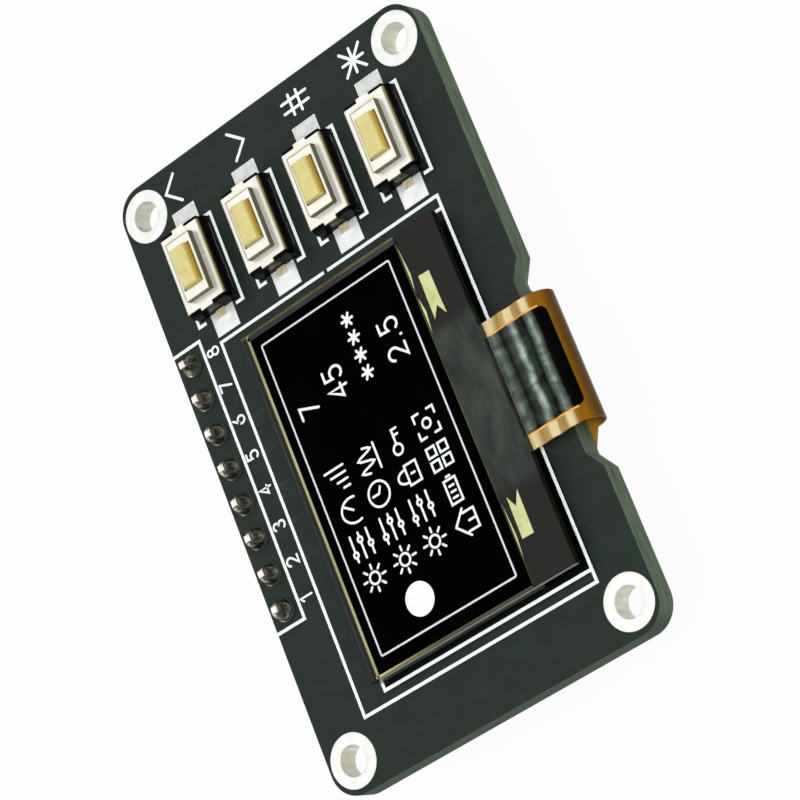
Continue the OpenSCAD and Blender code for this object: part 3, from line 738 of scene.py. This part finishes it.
def make_floor():
    reach = 2500
    level = cad_box[0].z / MM
    bm = bmesh.new()
    corners = ((-reach, -reach), (reach, -reach), (reach, reach), (-reach, reach))
    bm.faces.new([bm.verts.new(Vector((x, y, level)) * MM) for x, y in corners])
    mesh = bpy.data.meshes.new("floor")
    bm.to_mesh(mesh)
    bm.free()
    mesh.materials.append(floor_material())
    floor = add_object("floor", mesh)


# ---- board ----


def repaint(node, material):
    """Gives a CAD node that stays in view its finished material."""
    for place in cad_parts[node].material_slots:
        place.material = material


def make_board():
    dressed(
        "pcb", "board_laminate", [MASK, LAMINATE], 0.05,
        pick=lambda face: 0 if abs(face.normal.z) > 0.7 else 1,
    )


def ring_profile():
    """Half of a plated hole's section: a barrel, and on each face a gently dished ring."""
    bore, barrel, outer = 1.0, 1.05, 1.8
    upper = [
        (bore, 0.2), (bore + 0.01, 0.1), (bore + 0.03, 0.045), (bore + 0.06, 0.028),
        (1.18, 0.024), (1.28, 0.014), (1.38, 0.004), (1.5, 0.0),
        (outer - 0.1, 0.0), (outer - 0.04, 0.008), (outer - 0.01, 0.02), (outer, PLATE_T),
    ]
    top = [(r, BOARD_TOP + PLATE_T - drop) for r, drop in upper]
    low = [(r, -PLATE_T + drop) for r, drop in reversed(upper)]
    return top + [(barrel, BOARD_TOP), (barrel, 0.0)] + low


def make_mounting_rings():
    corner = box_mm("plated_mounting_holes")[1]
    radius = 1.8
    bm = bmesh.new()
    for sx in (-1, 1):
        for sy in (-1, 1):
            add_ring(bm, ring_profile(), (sx * (corner.x - radius), sy * (corner.y - radius)), 96)
    piece = finish_mesh(
        "mounting_rings", bm, [TIN, SHADED_BORE],
        pick=lambda face: 1 if abs(face.normal.z) < 0.3 else 0,
    )
    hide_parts("plated_mounting_holes")


def front_tracks():
    """Tracks on the front, which run from the header to the display."""
    first, pitch, start, stop = -6.6, 2.53, 7.0, 9.5
    return [[(first + k * pitch, start), (first + k * pitch, stop)] for k in range(5)]


def back_tracks():
    """Tracks on the back: a fan from the cable's joints to the small parts, and the header's."""
    joints = FLEX_HIGH.y
    tracks = []
    for column in range(-4, 4):
        x = FLEX_CX + (column + 0.5) * PART_PITCH
        tracks.append([(x, joints + 0.1), (x, joints + 1.4)])
        tracks.append([(x, joints + 3.7), (x, joints + 4.4), (x + 0.5, joints + 4.9)])
    for i in PINS:
        x = pin_x(i)
        inner_x = 0.8 * x + 0.2 * FLEX_CX
        tracks.append([(x, HEADER_Y - 0.9), (x, 9.4), (inner_x, 7.6), (inner_x, 3.5)])
    for side in (-1, 1):
        x, inner_x = FLEX_CX + side * 12, FLEX_CX + side * 11
        tracks.append([(x, -9.5), (x, 4.0), (inner_x, 5.0)])
    return tracks


def via_places():
    """Places of the small covered holes that join the two faces' copper."""
    by_switches = [(8.9 + 0.35 * (k % 2), 6.2 - 2.6 * k) for k in range(5)]
    by_edge = [(-19.6, 6.5 - 3.2 * k) for k in range(5)]
    by_header = [(pin_x(i) + 1.1, 9.0 - 0.5 * (i % 2)) for i in range(1, 5)]
    return by_switches + by_edge + by_header


def add_via(bm, place):
    """A covered hole on the back: a low ring with a dimple."""
    low, rim = -0.022, 0.31
    profile = [(0.02, -0.004), (0.1, -0.006), (0.15, -0.02), (0.26, low), (rim, 0.0), (0.02, SUNK)]
    add_ring(bm, profile, place, 28)


def make_tracks():
    width, height = 0.28, 0.016
    front, back = bmesh.new(), bmesh.new()
    for track in front_tracks():
        add_stroke(front, track, width, BOARD_TOP - SUNK, BOARD_TOP + height)
    for track in back_tracks():
        add_stroke(back, track, width, -height, SUNK)
    for place in via_places():
        add_via(back, place)
    finish_mesh("front_tracks", front, [TRACK], CRISP)
    finish_mesh("back_tracks", back, [TRACK], CRISP)


# ---- print: numbers and signs drawn with strokes ----


def line(*points):
    return [(list(points), False)]


def loop(*points):
    return [(list(points), True)]


def ring(cx, cy, r, steps=20):
    return loop(*arc(cx, cy, r, r, 0, 360 - 360 / steps, steps - 1))


def rays(cx, cy, inner, outer, count, turn=0.0):
    """Straight strokes that stand out round a point."""
    strokes = []
    for k in range(count):
        a = math.radians(turn) + 2 * math.pi * k / count
        c, s = math.cos(a), math.sin(a)
        strokes += line((cx + inner * c, cy + inner * s), (cx + outer * c, cy + outer * s))
    return strokes


# the marks that are written, each in a cell 0.6 wide and 1 high
MARKS = {
    "1": line((0.1, 0.8), (0.34, 1.0), (0.34, 0.0)),
    "2": line(*arc(0.3, 0.7, 0.28, 0.3, 165, -38), (0.02, 0.0), (0.58, 0.0)),
    "3": line(*arc(0.28, 0.76, 0.25, 0.24, 150, -80), *arc(0.28, 0.26, 0.28, 0.26, 80, -150)),
    "4": line((0.44, 0.0), (0.44, 1.0), (0.02, 0.3), (0.6, 0.3)),
    "5": line((0.54, 1.0), (0.1, 1.0), (0.07, 0.56), *arc(0.28, 0.32, 0.29, 0.32, 120, -145)),
    "6": line((0.46, 1.0), *arc(0.3, 0.3, 0.28, 0.3, 155, 495, 16)),
    "7": line((0.03, 1.0), (0.57, 1.0), (0.2, 0.0)),
    "8": ring(0.3, 0.76, 0.22) + loop(*arc(0.3, 0.27, 0.28, 0.27, 0, 342, 19)),
    "*": rays(0.3, 0.5, 0.0, 0.3, 6, 30),
    ".": line((0.1, 0.0), (0.1, 0.04)),
}


def place_sign(strokes, x, y, size):
    """A sign's strokes from its own cell, moved to x and y and enlarged to size."""
    def moved(points):
        return [(x + px * size, y + py * size) for px, py in points]
    return [(moved(points), closed) for points, closed in strokes]


def write(bm, text, x, y, height, width, z_low, z_high):
    """Draws a row of marks from x on, reading along X."""
    for mark in text:
        draw(bm, place_sign(MARKS[mark], x, y, height), width, z_low, z_high)
        x += height * (0.45 if mark == "." else 0.86)


def key_signs():
    """The signs beside the switches: an arrow head up, one down, a hash and a star."""
    x = SWITCH_X + 6.15
    half, rise = 1.0, 0.55
    strokes = []
    for y, tip in ((8.65, rise), (2.5, -rise)):
        strokes += line((x - half, y - tip), (x, y + tip), (x + half, y - tip))
    hash_y, long_arm, short_arm, gap = -2.75, 1.06, 0.74, 0.34
    for g in (-gap, gap):
        strokes += line((x - short_arm, hash_y + g), (x + short_arm, hash_y + g))
        strokes += line((x + g, hash_y - long_arm), (x + g, hash_y + long_arm))
    star_y = -7.9
    return strokes + rays(x, star_y, 0.0, 0.87, 4) + rays(x, star_y, 0.0, 1.19, 4, 45)


def make_print():
    repaint("silkscreen_print", INK)
    low, high = BOARD_TOP, BOARD_TOP + PRINT_T
    bm = bmesh.new()
    for i in PINS:
        write(bm, str(i), pin_x(i) - 0.28, 9.72, 0.94, 0.15, low, high)
    draw(bm, key_signs(), 0.2, low, high)
    finish_mesh("printed_numbers", bm, [INK], CRISP)


# ---- header ----


def taper_pin(bm, x):
    """Draws a pin's upper end in, as cutting and tinning leave it."""
    from_z, narrowing, cut = 2.0, 0.74, 0.12
    middle = Vector((x, HEADER_Y)) * MM
    for vert in bm.verts:
        if vert.co.z > from_z * MM:
            vert.co.xy = middle + (vert.co.xy - middle) * narrowing
            vert.co.z -= cut * MM


def pin_surface(face):
    """Plated metal below the board, solder-coated sides above it, darkened as a painted dark reflection,
    and a cut tip whose bright upward faces are a painted highlight.
    """
    if face.calc_center_median().z < BOARD_TOP * MM:
        return 0
    return 2 if face.normal.z > 0.3 else 1


def make_header():
    dressed("header_strip", "header_insulator", [HEADER_PLASTIC], 0.08)
    for i in PINS:
        dressed(
            f"header_pin_{i}", f"pin_{i}", [PIN_METAL, SOLDER_DARK_REFLECTION, PIN_TIP_HIGHLIGHT], 0.035,
            pick=pin_surface, adjust=lambda bm, x=pin_x(i): taper_pin(bm, x),
        )
    repaint("header_lands", MASK)


def mound_profile(height, fullness):
    """Half of a solder mound's section, from the land up to the pin."""
    foot, body, neck, hidden = 0.84, 0.69, 0.3, 0.24
    base = BOARD_TOP + PLATE_T
    shoulder = base + 0.07
    steps = 14
    below = [(hidden, base - 0.3), (0.5, base - 0.3), (0.5, base - SUNK), (foot + 0.02, base - SUNK)]
    edge = [(foot, base), (0.79, base + 0.012), (0.74, base + 0.035)]
    flank = []
    for k in range(steps + 1):
        t = k / steps
        flank.append((neck + (body - neck) * (1 - t) ** fullness, shoulder + height * t))
    top = shoulder + height
    return below + edge + flank + [(neck - 0.05, top + 0.02), (hidden, top - 0.02)]


def lumpy(lean, lump, limit=0.88):
    """Makes a round mound a little one-sided: its radius by angle, within its land."""
    return lambda angle, radius: min(radius * (1 + lump * math.cos(angle - lean)), limit)


def make_header_solder():
    """Full mounds round the pins, but for the last one, which is drawn up hollow."""
    rng = random.Random(7)
    bm = bmesh.new()
    for i in PINS:
        lean, lump = rng.uniform(0, 2 * math.pi), rng.uniform(0.02, 0.05)
        height, fullness = rng.uniform(0.8, 0.92), rng.uniform(0.42, 0.62)
        if i == PIN_COUNT:
            fullness = 1.9
        add_ring(bm, mound_profile(height, fullness), (pin_x(i), HEADER_Y), 56, lumpy(lean, lump))
    skirt = (BOARD_TOP + PLATE_T + 0.04) * MM
    # the mounds' brownish grey solder is a painted dark reflection
    piece = finish_mesh(
        "header_solder", bm, [SOLDER_DARK_REFLECTION, MASK], MOLTEN,
        pick=lambda face: 1 if 0 < face.calc_center_median().z < skirt else 0,
    )
    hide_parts("header_solder_joints")


# ---- display ----


# how far a pane's edge lies inside its nominal size, at the end away from the switches
PANE_TRIM = 0.36


def trim_pane(bm):
    """Draws a pane's edge in at the end away from the switches."""
    for vert in bm.verts:
        if vert.co.x < (GLASS_LOW.x + 0.05) * MM:
            vert.co.x += PANE_TRIM * MM


def make_panel():
    repaint("oled_foam_tape", FOAM)
    repaint("oled_desiccant", DRYING_SHEET)
    repaint("oled_emitting_layer", EMITTER)
    repaint("oled_driver_chip", SILICON)
    repaint("oled_bond_resin", RESIN)
    dressed("oled_cap_glass", "rear_glass", [CAP_GLASS], 0.03, adjust=trim_pane)
    dressed("oled_front_glass", "front_glass", [PANEL_GLASS], 0.03, adjust=trim_pane)
    dressed("oled_polariser", "polariser", [POLARISER], 0.05)


def make_seal():
    """Painted highlights: fine lines along the edges of the polariser and of the glass, unlike on every
    side.
    """
    near_x, far_x = GLASS_LOW.x + PANE_TRIM, GLASS_HIGH.x
    near_y, far_y = FILM_LOW.y, FILM_HIGH.y
    ledge_y = GLASS_LOW.y + 0.07
    on_glass, on_film = GLASS_HIGH.z + 0.008, FILM_HIGH.z + 0.006
    # material, the two ends, the width and the level of the upper side
    lines = (
        (BRIGHT_EDGE_HIGHLIGHT, (near_x + 0.1, 6.18), (far_x - 0.3, 6.18), 0.2, on_film),
        (GREY_EDGE_HIGHLIGHT, (near_x + 0.1, 6.78), (far_x - 0.3, 6.78), 0.12, on_glass),
        (FADING_EDGE_HIGHLIGHT, (near_x + 0.07, near_y), (near_x + 0.07, far_y), 0.12, on_film),
        (GREY_EDGE_HIGHLIGHT, (far_x - 0.46, near_y), (far_x - 0.46, 6.1), 0.3, on_film),
        (DULL_EDGE_HIGHLIGHT, (far_x - 0.12, near_y), (far_x - 0.12, far_y + 0.5), 0.18, on_glass),
        (DULL_EDGE_HIGHLIGHT, (near_x + 0.2, near_y - 0.04), (far_x - 0.5, near_y - 0.04), 0.07, on_glass),
        (GREY_EDGE_HIGHLIGHT, (-8.9, ledge_y), (0.1, ledge_y), 0.07, on_glass),
    )
    # each line is a painted highlight along a lit edge
    for n, (material, start, stop, width, high) in enumerate(lines):
        bm = bmesh.new()
        add_stroke(bm, [start, stop], width, GLASS_HIGH.z - SUNK, high)
        finish_mesh(f"panel_edge_highlight_{n + 1}", bm, [material], CRISP)


def make_ledge_pads():
    """The two notched pads on the ledge, and the thin wedges between them and the film."""
    pads = [
        [(-13.5, -7.0), (-13.5, -7.9), (-10.6, -7.95), (-11.5, -7.45), (-10.7, -7.05)],
        [(4.63, -7.2), (4.6, -8.05), (1.55, -8.1), (2.35, -7.65), (1.6, -7.15)],
    ]
    wedges = [
        [(-10.9, -6.58), (-13.4, -6.56), (-14.6, -6.56), (-13.2, -6.7)],
        [(0.9, -6.6), (2.4, -6.78), (3.4, -6.58)],
        [(3.9, -6.58), (5.0, -6.74), (7.0, -6.57)],
    ]
    bm = bmesh.new()
    for outline in pads + wedges:
        add_polygon(bm, outline, GLASS_HIGH.z - SUNK, GLASS_HIGH.z + 0.01)
    finish_mesh("ledge_pads", bm, [LEDGE_PAD], CRISP)


# ---- signs on the screen, each in a cell 1 wide and 1 high ----


def each(places, sign):
    """The strokes of a sign that is drawn at several places."""
    return [stroke for place in places for stroke in sign(*place)]


def slider(y, knob):
    """A bar with a round knob, and a little space on both sides of it."""
    r, gap = 0.09, 0.12
    bar = line((0.06, y), (knob - gap, y)) + line((knob + gap, y), (0.94, y))
    return bar + ring(knob, y, r, 12)


def tile(x, y, side=0.32):
    return loop((x, y), (x + side, y), (x + side, y + side), (x, y + side))


def frame_corner(x, y, reach=0.24):
    """A right angle at a corner of the cell, whose arms point inwards."""
    dx, dy = (reach if at < 0.5 else -reach for at in (x, y))
    return line((x + dx, y), (x, y), (x, y + dy))


GEAR = ring(0.5, 0.5, 0.2) + rays(0.5, 0.5, 0.32, 0.46, 8)
SLIDERS = each(((0.85, 0.3), (0.5, 0.7), (0.15, 0.42)), slider)
GAUGE = line(*arc(0.5, 0.3, 0.42, 0.5, 200, -20, 16)) + line((0.5, 0.32), (0.74, 0.64))
WAVE = line(*[(0.06 + 0.055 * t, 0.5 + 0.3 * math.sin(math.pi * t / 4)) for t in range(17)])
WAVE += line((0.06, 0.04), (0.94, 0.04))
CLOCK = ring(0.5, 0.5, 0.42, 24) + line((0.5, 0.76), (0.5, 0.5), (0.7, 0.38))
BARS = each([(0.14 + 0.24 * k, 0.34 + 0.18 * k) for k in range(4)], lambda x, y: line((x, 0.08), (x, y)))
PADLOCK = loop((0.16, 0.08), (0.84, 0.08), (0.84, 0.55), (0.16, 0.55))
PADLOCK += line(*arc(0.5, 0.6, 0.22, 0.32, 180, 0)) + line((0.5, 0.38), (0.5, 0.24))
KEY = ring(0.26, 0.5, 0.18, 16) + line((0.44, 0.5), (0.94, 0.5), (0.94, 0.3))
KEY += line((0.74, 0.5), (0.74, 0.32))
HOUSE = line((0.18, 0.52), (0.18, 0.08), (0.82, 0.08), (0.82, 0.52))
HOUSE += line((0.04, 0.48), (0.5, 0.92), (0.96, 0.48)) + line((0.5, 0.1), (0.5, 0.38))
BATTERY = loop((0.04, 0.28), (0.84, 0.28), (0.84, 0.74), (0.04, 0.74)) + line((0.95, 0.44), (0.95, 0.58))
BATTERY += each(((0.22,), (0.42,), (0.62,)), lambda x: line((x, 0.42), (x, 0.6)))
GRID = each(((0.1, 0.1), (0.1, 0.58), (0.58, 0.1), (0.58, 0.58)), tile)
CORNERS = each(((0.08, 0.08), (0.08, 0.92), (0.92, 0.08), (0.92, 0.92)), frame_corner)
CORNERS += ring(0.5, 0.5, 0.16, 14)

# each row of the screen: its middle in Y, its four signs and its value
SCREEN_ROWS = (
    (3.75, (GEAR, SLIDERS, GAUGE, BARS), "7"),
    (1.2, (GEAR, SLIDERS, CLOCK, WAVE), "45"),
    (-1.3, (GEAR, SLIDERS, PADLOCK, KEY), "****"),
    (-3.9, (HOUSE, BATTERY, GRID, CORNERS), "2.5"),
)


def make_screen():
    """What the display shows: a frame, four rows of plain signs and values, and a round marker."""
    low, high = FILM_HIGH.z - SUNK, FILM_HIGH.z + 0.006
    border = bmesh.new()
    add_stroke(border, round_box(-15.37, -5.74, 6.57, 5.39, 0.12), 0.13, low, high, closed=True)
    finish_mesh("screen_border", border, [DIM_LIT], CRISP)
    cell, cell_pitch, first_x, value_x, value_h = 1.95, 2.28, -11.75, 0.6, 1.45
    content = bmesh.new()
    add_polygon(content, arc(-13.45, 1.25, 1.1, 1.1, 0, 352.5, 47), low, high)
    for y, signs, value in SCREEN_ROWS:
        for column, sign in enumerate(signs):
            x = first_x + column * cell_pitch
            draw(content, place_sign(sign, x, y - cell / 2, cell), 0.155, low, high)
        write(content, value, value_x, y - value_h / 2, value_h, 0.18, low, high)
    finish_mesh("screen_content", content, [LIT], CRISP)


# ---- flex cable: s is the distance along it from its end on the glass ----

BEND_R = (FLEX_HIGH.z - FLEX_LOW.z) / 2
BEND_Y = FLEX_LOW.y + BEND_R
BEND_Z = FLEX_HIGH.z - BEND_R
FLEX_T = -FLEX_LOW.z
TAIL_HALF = (FLEX_HIGH.x - FLEX_LOW.x) / 2
TAIL_SLOPE = 1.75
NECK_HALF = 4.375
# how much of the neck stays bare on each side of the black cover film
BORDER = 1.0
# the length of one wave of the neck
CREASE_PITCH = 1.4
# the length that is joined to the glass, and where in Y that end lies
FLEX_BOND = 1.1
FLEX_START = GLASS_LOW.y + FLEX_BOND
# where the bend starts and stops along the cable, and the cable's whole length
BEND_FROM = FLEX_START - BEND_Y
BEND_TO = BEND_FROM + math.pi * BEND_R
FLEX_END = BEND_TO + FLEX_HIGH.y - BEND_Y
# where the black cover film starts and stops along the cable, and its corner radius
COVERLAY_FROM = FLEX_BOND + 0.03
COVERLAY_TO = BEND_FROM + math.radians(50) * BEND_R
COVERLAY_R = 0.45


def flex_station(s):
    """The cable's outer face at s: its place and normal in Y and Z."""
    if s < BEND_FROM:
        return (FLEX_START - s, FLEX_HIGH.z), (0.0, 1.0)
    if s < BEND_TO:
        a = math.pi / 2 + (s - BEND_FROM) / BEND_R
        ny, nz = math.cos(a), math.sin(a)
        return (BEND_Y + BEND_R * ny, BEND_Z + BEND_R * nz), (ny, nz)
    return (BEND_Y + s - BEND_TO, FLEX_LOW.z), (0.0, -1.0)


def flex_half(s):
    """Half of the cable's width at s: the tail flares after the bend."""
    return min(NECK_HALF + TAIL_SLOPE * max(0.0, s - BEND_TO), TAIL_HALF)


def ripple(x, s):
    """How far the cable's neck waves up and down along its length."""
    fade = max(0.0, min(1.0, (s - FLEX_BOND) / 0.3, (BEND_FROM + 0.5 - s) / 0.8))
    crease = math.sin(2 * math.pi * (s - 0.75) / CREASE_PITCH + 0.1 * x)
    return fade * (0.05 * crease + 0.008 * math.sin(8.7 * s - 0.5 * x + 1.0))


def flex_point(x, s, lift):
    (y, z), (ny, nz) = flex_station(s)
    lift += ripple(x - FLEX_CX, s)
    return (x, y + ny * lift, z + nz * lift)


def flex_rows(stations, half_at, lifts, middle=FLEX_CX):
    """Rows of points across the cable, a lift for each above the cable's outer face."""
    places = spread(-1, 1, len(lifts) - 1)
    return [
        [flex_point(middle + w * half_at(s), s, lift) for w, lift in zip(places, lifts)]
        for s in stations
    ]


def make_flex_film():
    flare_end = BEND_TO + (TAIL_HALF - NECK_HALF) / TAIL_SLOPE
    stations = spread(0, BEND_FROM, 80)[:-1] + spread(BEND_FROM, BEND_TO, 48)[:-1]
    stations += spread(BEND_TO, flare_end, 16)[:-1] + spread(flare_end, FLEX_END, 8)
    bm = bmesh.new()
    outer, inner = (flex_rows(stations, flex_half, [lift] * 25) for lift in (0.0, -FLEX_T))
    add_grid_solid(bm, outer, inner)
    piece = finish_mesh("flex_film", bm, [POLYIMIDE], ROUNDED)
    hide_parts("oled_flex_cable")


def coverlay_half(s):
    """Half of the cover film's width at s, with its round corners."""
    full = NECK_HALF - BORDER
    into = max(COVERLAY_R - (COVERLAY_TO - s), 0.0)
    return full - COVERLAY_R + math.sqrt(max(COVERLAY_R ** 2 - into ** 2, 0.0))


def make_coverlay():
    corner_from = COVERLAY_TO - COVERLAY_R
    stations = spread(COVERLAY_FROM, corner_from, 70)[:-1]
    stations += [corner_from + COVERLAY_R * math.sin(math.radians(a)) for a in range(0, 91, 9)]
    bm = bmesh.new()
    outer, inner = (flex_rows(stations, coverlay_half, [lift] * 31) for lift in (0.035, -SUNK))
    add_grid_solid(bm, outer, inner)
    finish_mesh("flex_coverlay", bm, [COVERLAY], ROUNDED)


def make_adhesive_edges():
    """Thin raised lines of adhesive along the cover film's two sides; their bright orange is a painted
    highlight.
    """
    half, crown, under = 0.06, (0.006, 0.022, 0.028, 0.022, 0.006), [-SUNK] * 5
    stations = spread(COVERLAY_FROM, COVERLAY_TO - COVERLAY_R, 60)
    bm = bmesh.new()
    for side in (-1, 1):
        middle = FLEX_CX + side * (NECK_HALF - BORDER + half)
        outer, inner = (flex_rows(stations, lambda s: half, lifts, middle) for lifts in (crown, under))
        add_grid_solid(bm, outer, inner)
    finish_mesh("flex_adhesive_edges", bm, [ADHESIVE_HIGHLIGHT], MOLTEN)


def make_tail_tracks():
    """The cable's conductors, which fan out over the tail to their joints."""
    joint_count, joint_pitch, neck_pitch = 30, 0.7, 0.25
    from_y, to_y = BEND_Y + 0.1, FLEX_HIGH.y - 0.7
    bm = bmesh.new()
    for j in range(joint_count):
        place = j - (joint_count - 1) / 2
        x0, x1 = FLEX_CX + place * neck_pitch, FLEX_CX + place * joint_pitch
        width = 0.12 if abs(place) > 1 else 0.18
        path = [(x0, from_y), (x0, from_y + 0.7), (x1, to_y - 1.1), (x1, to_y)]
        add_stroke(bm, path, width, FLEX_LOW.z - 0.008, FLEX_LOW.z + SUNK)
    finish_mesh("flex_tail_tracks", bm, [COPPER], CRISP)
    repaint("flex_solder_joints", SOLDER)


# ---- switches ----


def make_dome(k):
    """A switch's snap dome, on a mesh of its own."""
    node = f"switch_{k}_dome"
    dome = dressed(node, f"switch_{k}_snap_dome", [SPRING_STEEL], 0.008)
    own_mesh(dome)


def make_switch(k):
    name = f"switch_{k}"
    dressed(f"{name}_base", f"{name}_housing", [SWITCH_PLASTIC], 0.06, 3)
    dressed(f"{name}_cover", f"{name}_shell", [COVER_METAL], 0.06, 3)
    dressed(
        f"{name}_plunger", f"{name}_button", [PLUNGER_PLASTIC], 0.03,
        body=f"button_{k}",
    )
    for side in ("left", "right"):
        repaint(f"{name}_terminal_{side}", TERMINAL_METAL)
    make_dome(k)


def make_cover_crease(k):
    """A painted shade line along the far edges of a cover's raised middle, where its rounded top edge
    turns away.
    """
    half_x, half_y = 2.06, 0.96
    centre, high = centre_of(f"switch_{k}_cover"), box_mm(f"switch_{k}_cover")[1].z
    left, right = centre.x - half_x, centre.x + half_x
    near, far = centre.y - half_y, centre.y + half_y
    bm = bmesh.new()
    add_stroke(bm, [(left, far), (right, far), (right, near)], 0.09, high - SUNK, high + 0.003)
    finish_mesh(f"switch_{k}_crease", bm, [CREASE_SHADE_LINE], CRISP)


def make_flash_line(k):
    """A thin wavy grey line along a switch base's near wall: a painted reflection on a low raised strip.
    """
    low, high = box_mm(f"switch_{k}_base")
    half = 0.022
    outer, inner = [], []
    for x in spread(low.x + 0.6, high.x - 0.5, 48):
        u = x - low.x
        middle = low.z + 0.3 * (high.z - low.z) + 0.04 * math.sin(1.9 * u + k) + 0.02 * math.sin(5.2 * u)
        levels = (middle - half, middle, middle + half)
        outer.append([(x, low.y - out, z) for z, out in zip(levels, (0.012, 0.018, 0.012))])
        inner.append([(x, low.y + SUNK, z) for z in levels])
    bm = bmesh.new()
    add_grid_solid(bm, outer, inner)
    finish_mesh(f"switch_{k}_wall_reflection", bm, [WALL_REFLECTION_LINE], ROUNDED)


def puddle_height(u, v):
    """Height of the solder over a land, at u along it from the base and v across."""
    toe, half_width = 0.51, 0.375
    beyond = Vector((max(u - toe, 0.0), max(abs(v) - half_width, 0.0))).length
    fillet = 0.07 * math.exp(-((beyond / 0.16) ** 1.3))
    return 0.03 + fillet + 0.004 * math.sin(4.1 * u + 1.0) * math.cos(3.0 * v)


def add_puddle(bm, centre, side, skew):
    """A pool of solder on a switch's land, highest where it wets the terminal."""
    start, length, half = 3.04, 1.56, 0.95
    low = BOARD_TOP + PLATE_T - SUNK
    outer, inner = [], []
    for u in spread(0, 1, 26):
        end = 1 - max(0.0, (u - 0.86) / 0.14) ** 2 * 0.12
        high_row, low_row = [], []
        for w in spread(-1, 1, 28):
            across = w * half * end
            rim = min(1.0, (1 - abs(w)) * 9) * min(1.0, (1 - u) * 12, u * 12 + 0.3)
            height = puddle_height(u * length, across + skew) * math.sqrt(max(rim, 0.0))
            at = (centre.x + side * (start + u * length), centre.y + across)
            high_row.append((*at, low + 0.012 + height))
            low_row.append((*at, low))
        outer.append(high_row)
        inner.append(low_row)
    add_grid_solid(bm, outer, inner)


def make_switch_solder():
    rng = random.Random(11)
    bm = bmesh.new()
    for k in SWITCHES:
        for side in (-1, 1):
            add_puddle(bm, centre_of(f"switch_{k}_base"), side, rng.uniform(-0.12, 0.12))
    # the lands on the +X side get greyer solder: painted shade
    piece = finish_mesh(
        "switch_solder", bm, [SOLDER, SHADED_SOLDER], MOLTEN,
        pick=lambda face: 1 if face.calc_center_median().x > SWITCH_X * MM else 0,
    )
    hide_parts("switch_solder_joints")
    repaint("switch_lands", TIN)


# ---- small parts on the back ----


def make_back_parts():
    dressed("regulator_body", "regulator_case", [MOULDING], 0.04)
    dressed("regulator_leads", "regulator_legs", [TIN], 0.02)
    dressed("capacitor_bodies", "capacitors", [CAPACITOR], 0.04)
    dressed("resistor_bodies", "resistors", [RESISTOR], 0.03)
    dressed("capacitor_ends", "capacitor_caps", [SOLDER], 0.05)
    dressed("resistor_ends", "resistor_caps", [SOLDER], 0.04)
    repaint("component_lands", TIN)


def add_end_fillet(bm, x, y, side, height):
    """A hollow wedge of solder from a small part's end down to its land."""
    half, reach, steps = 0.39, 0.26, 8
    outer, inner = [], []
    for t in spread(0, 1, steps):
        drop = 0.02 + height * (1 - t) ** 2.2
        row = [(x + w * half, y + side * reach * t, w) for w in spread(-1, 1, steps)]
        outer.append([(px, py, -PLATE_T - drop * (1 - 0.5 * abs(w) ** 6)) for px, py, w in row])
        inner.append([(px, py, -PLATE_T + SUNK) for px, py, w in row])
    add_grid_solid(bm, outer, inner)


def make_back_solder():
    """Solder at both ends of each capacitor and resistor, in their columns and rows."""
    row_1, row_2, half = 2.6, 6.2, 0.8
    places = [(c - 3.5, row_1, 0.5) for c in range(6)] + [(2.5, row_1, 0.3), (3.5, row_1, 0.3)]
    places += [(c, row_2, 0.3) for c in (-2.5, -1.5, 0.5, 1.5)]
    bm = bmesh.new()
    for column, row, height in places:
        for side in (-1, 1):
            y = FLEX_HIGH.y + row + side * half
            add_end_fillet(bm, FLEX_CX + column * PART_PITCH, y, side, height)
    finish_mesh("small_part_solder", bm, [SOLDER], MOLTEN)


# ---- everything ----


make_camera()
make_world()
make_lights()
make_floor()
make_board()
make_mounting_rings()
make_tracks()
make_print()
make_header()
make_header_solder()
make_panel()
make_seal()
make_ledge_pads()
make_screen()
make_flex_film()
make_coverlay()
make_adhesive_edges()
make_tail_tracks()
for make in (make_switch, make_flash_line, make_cover_crease):
    for k in SWITCHES:
        make(k)
make_switch_solder()
make_back_parts()
make_back_solder()
bpy.context.scene.view_settings.view_transform = "Standard"
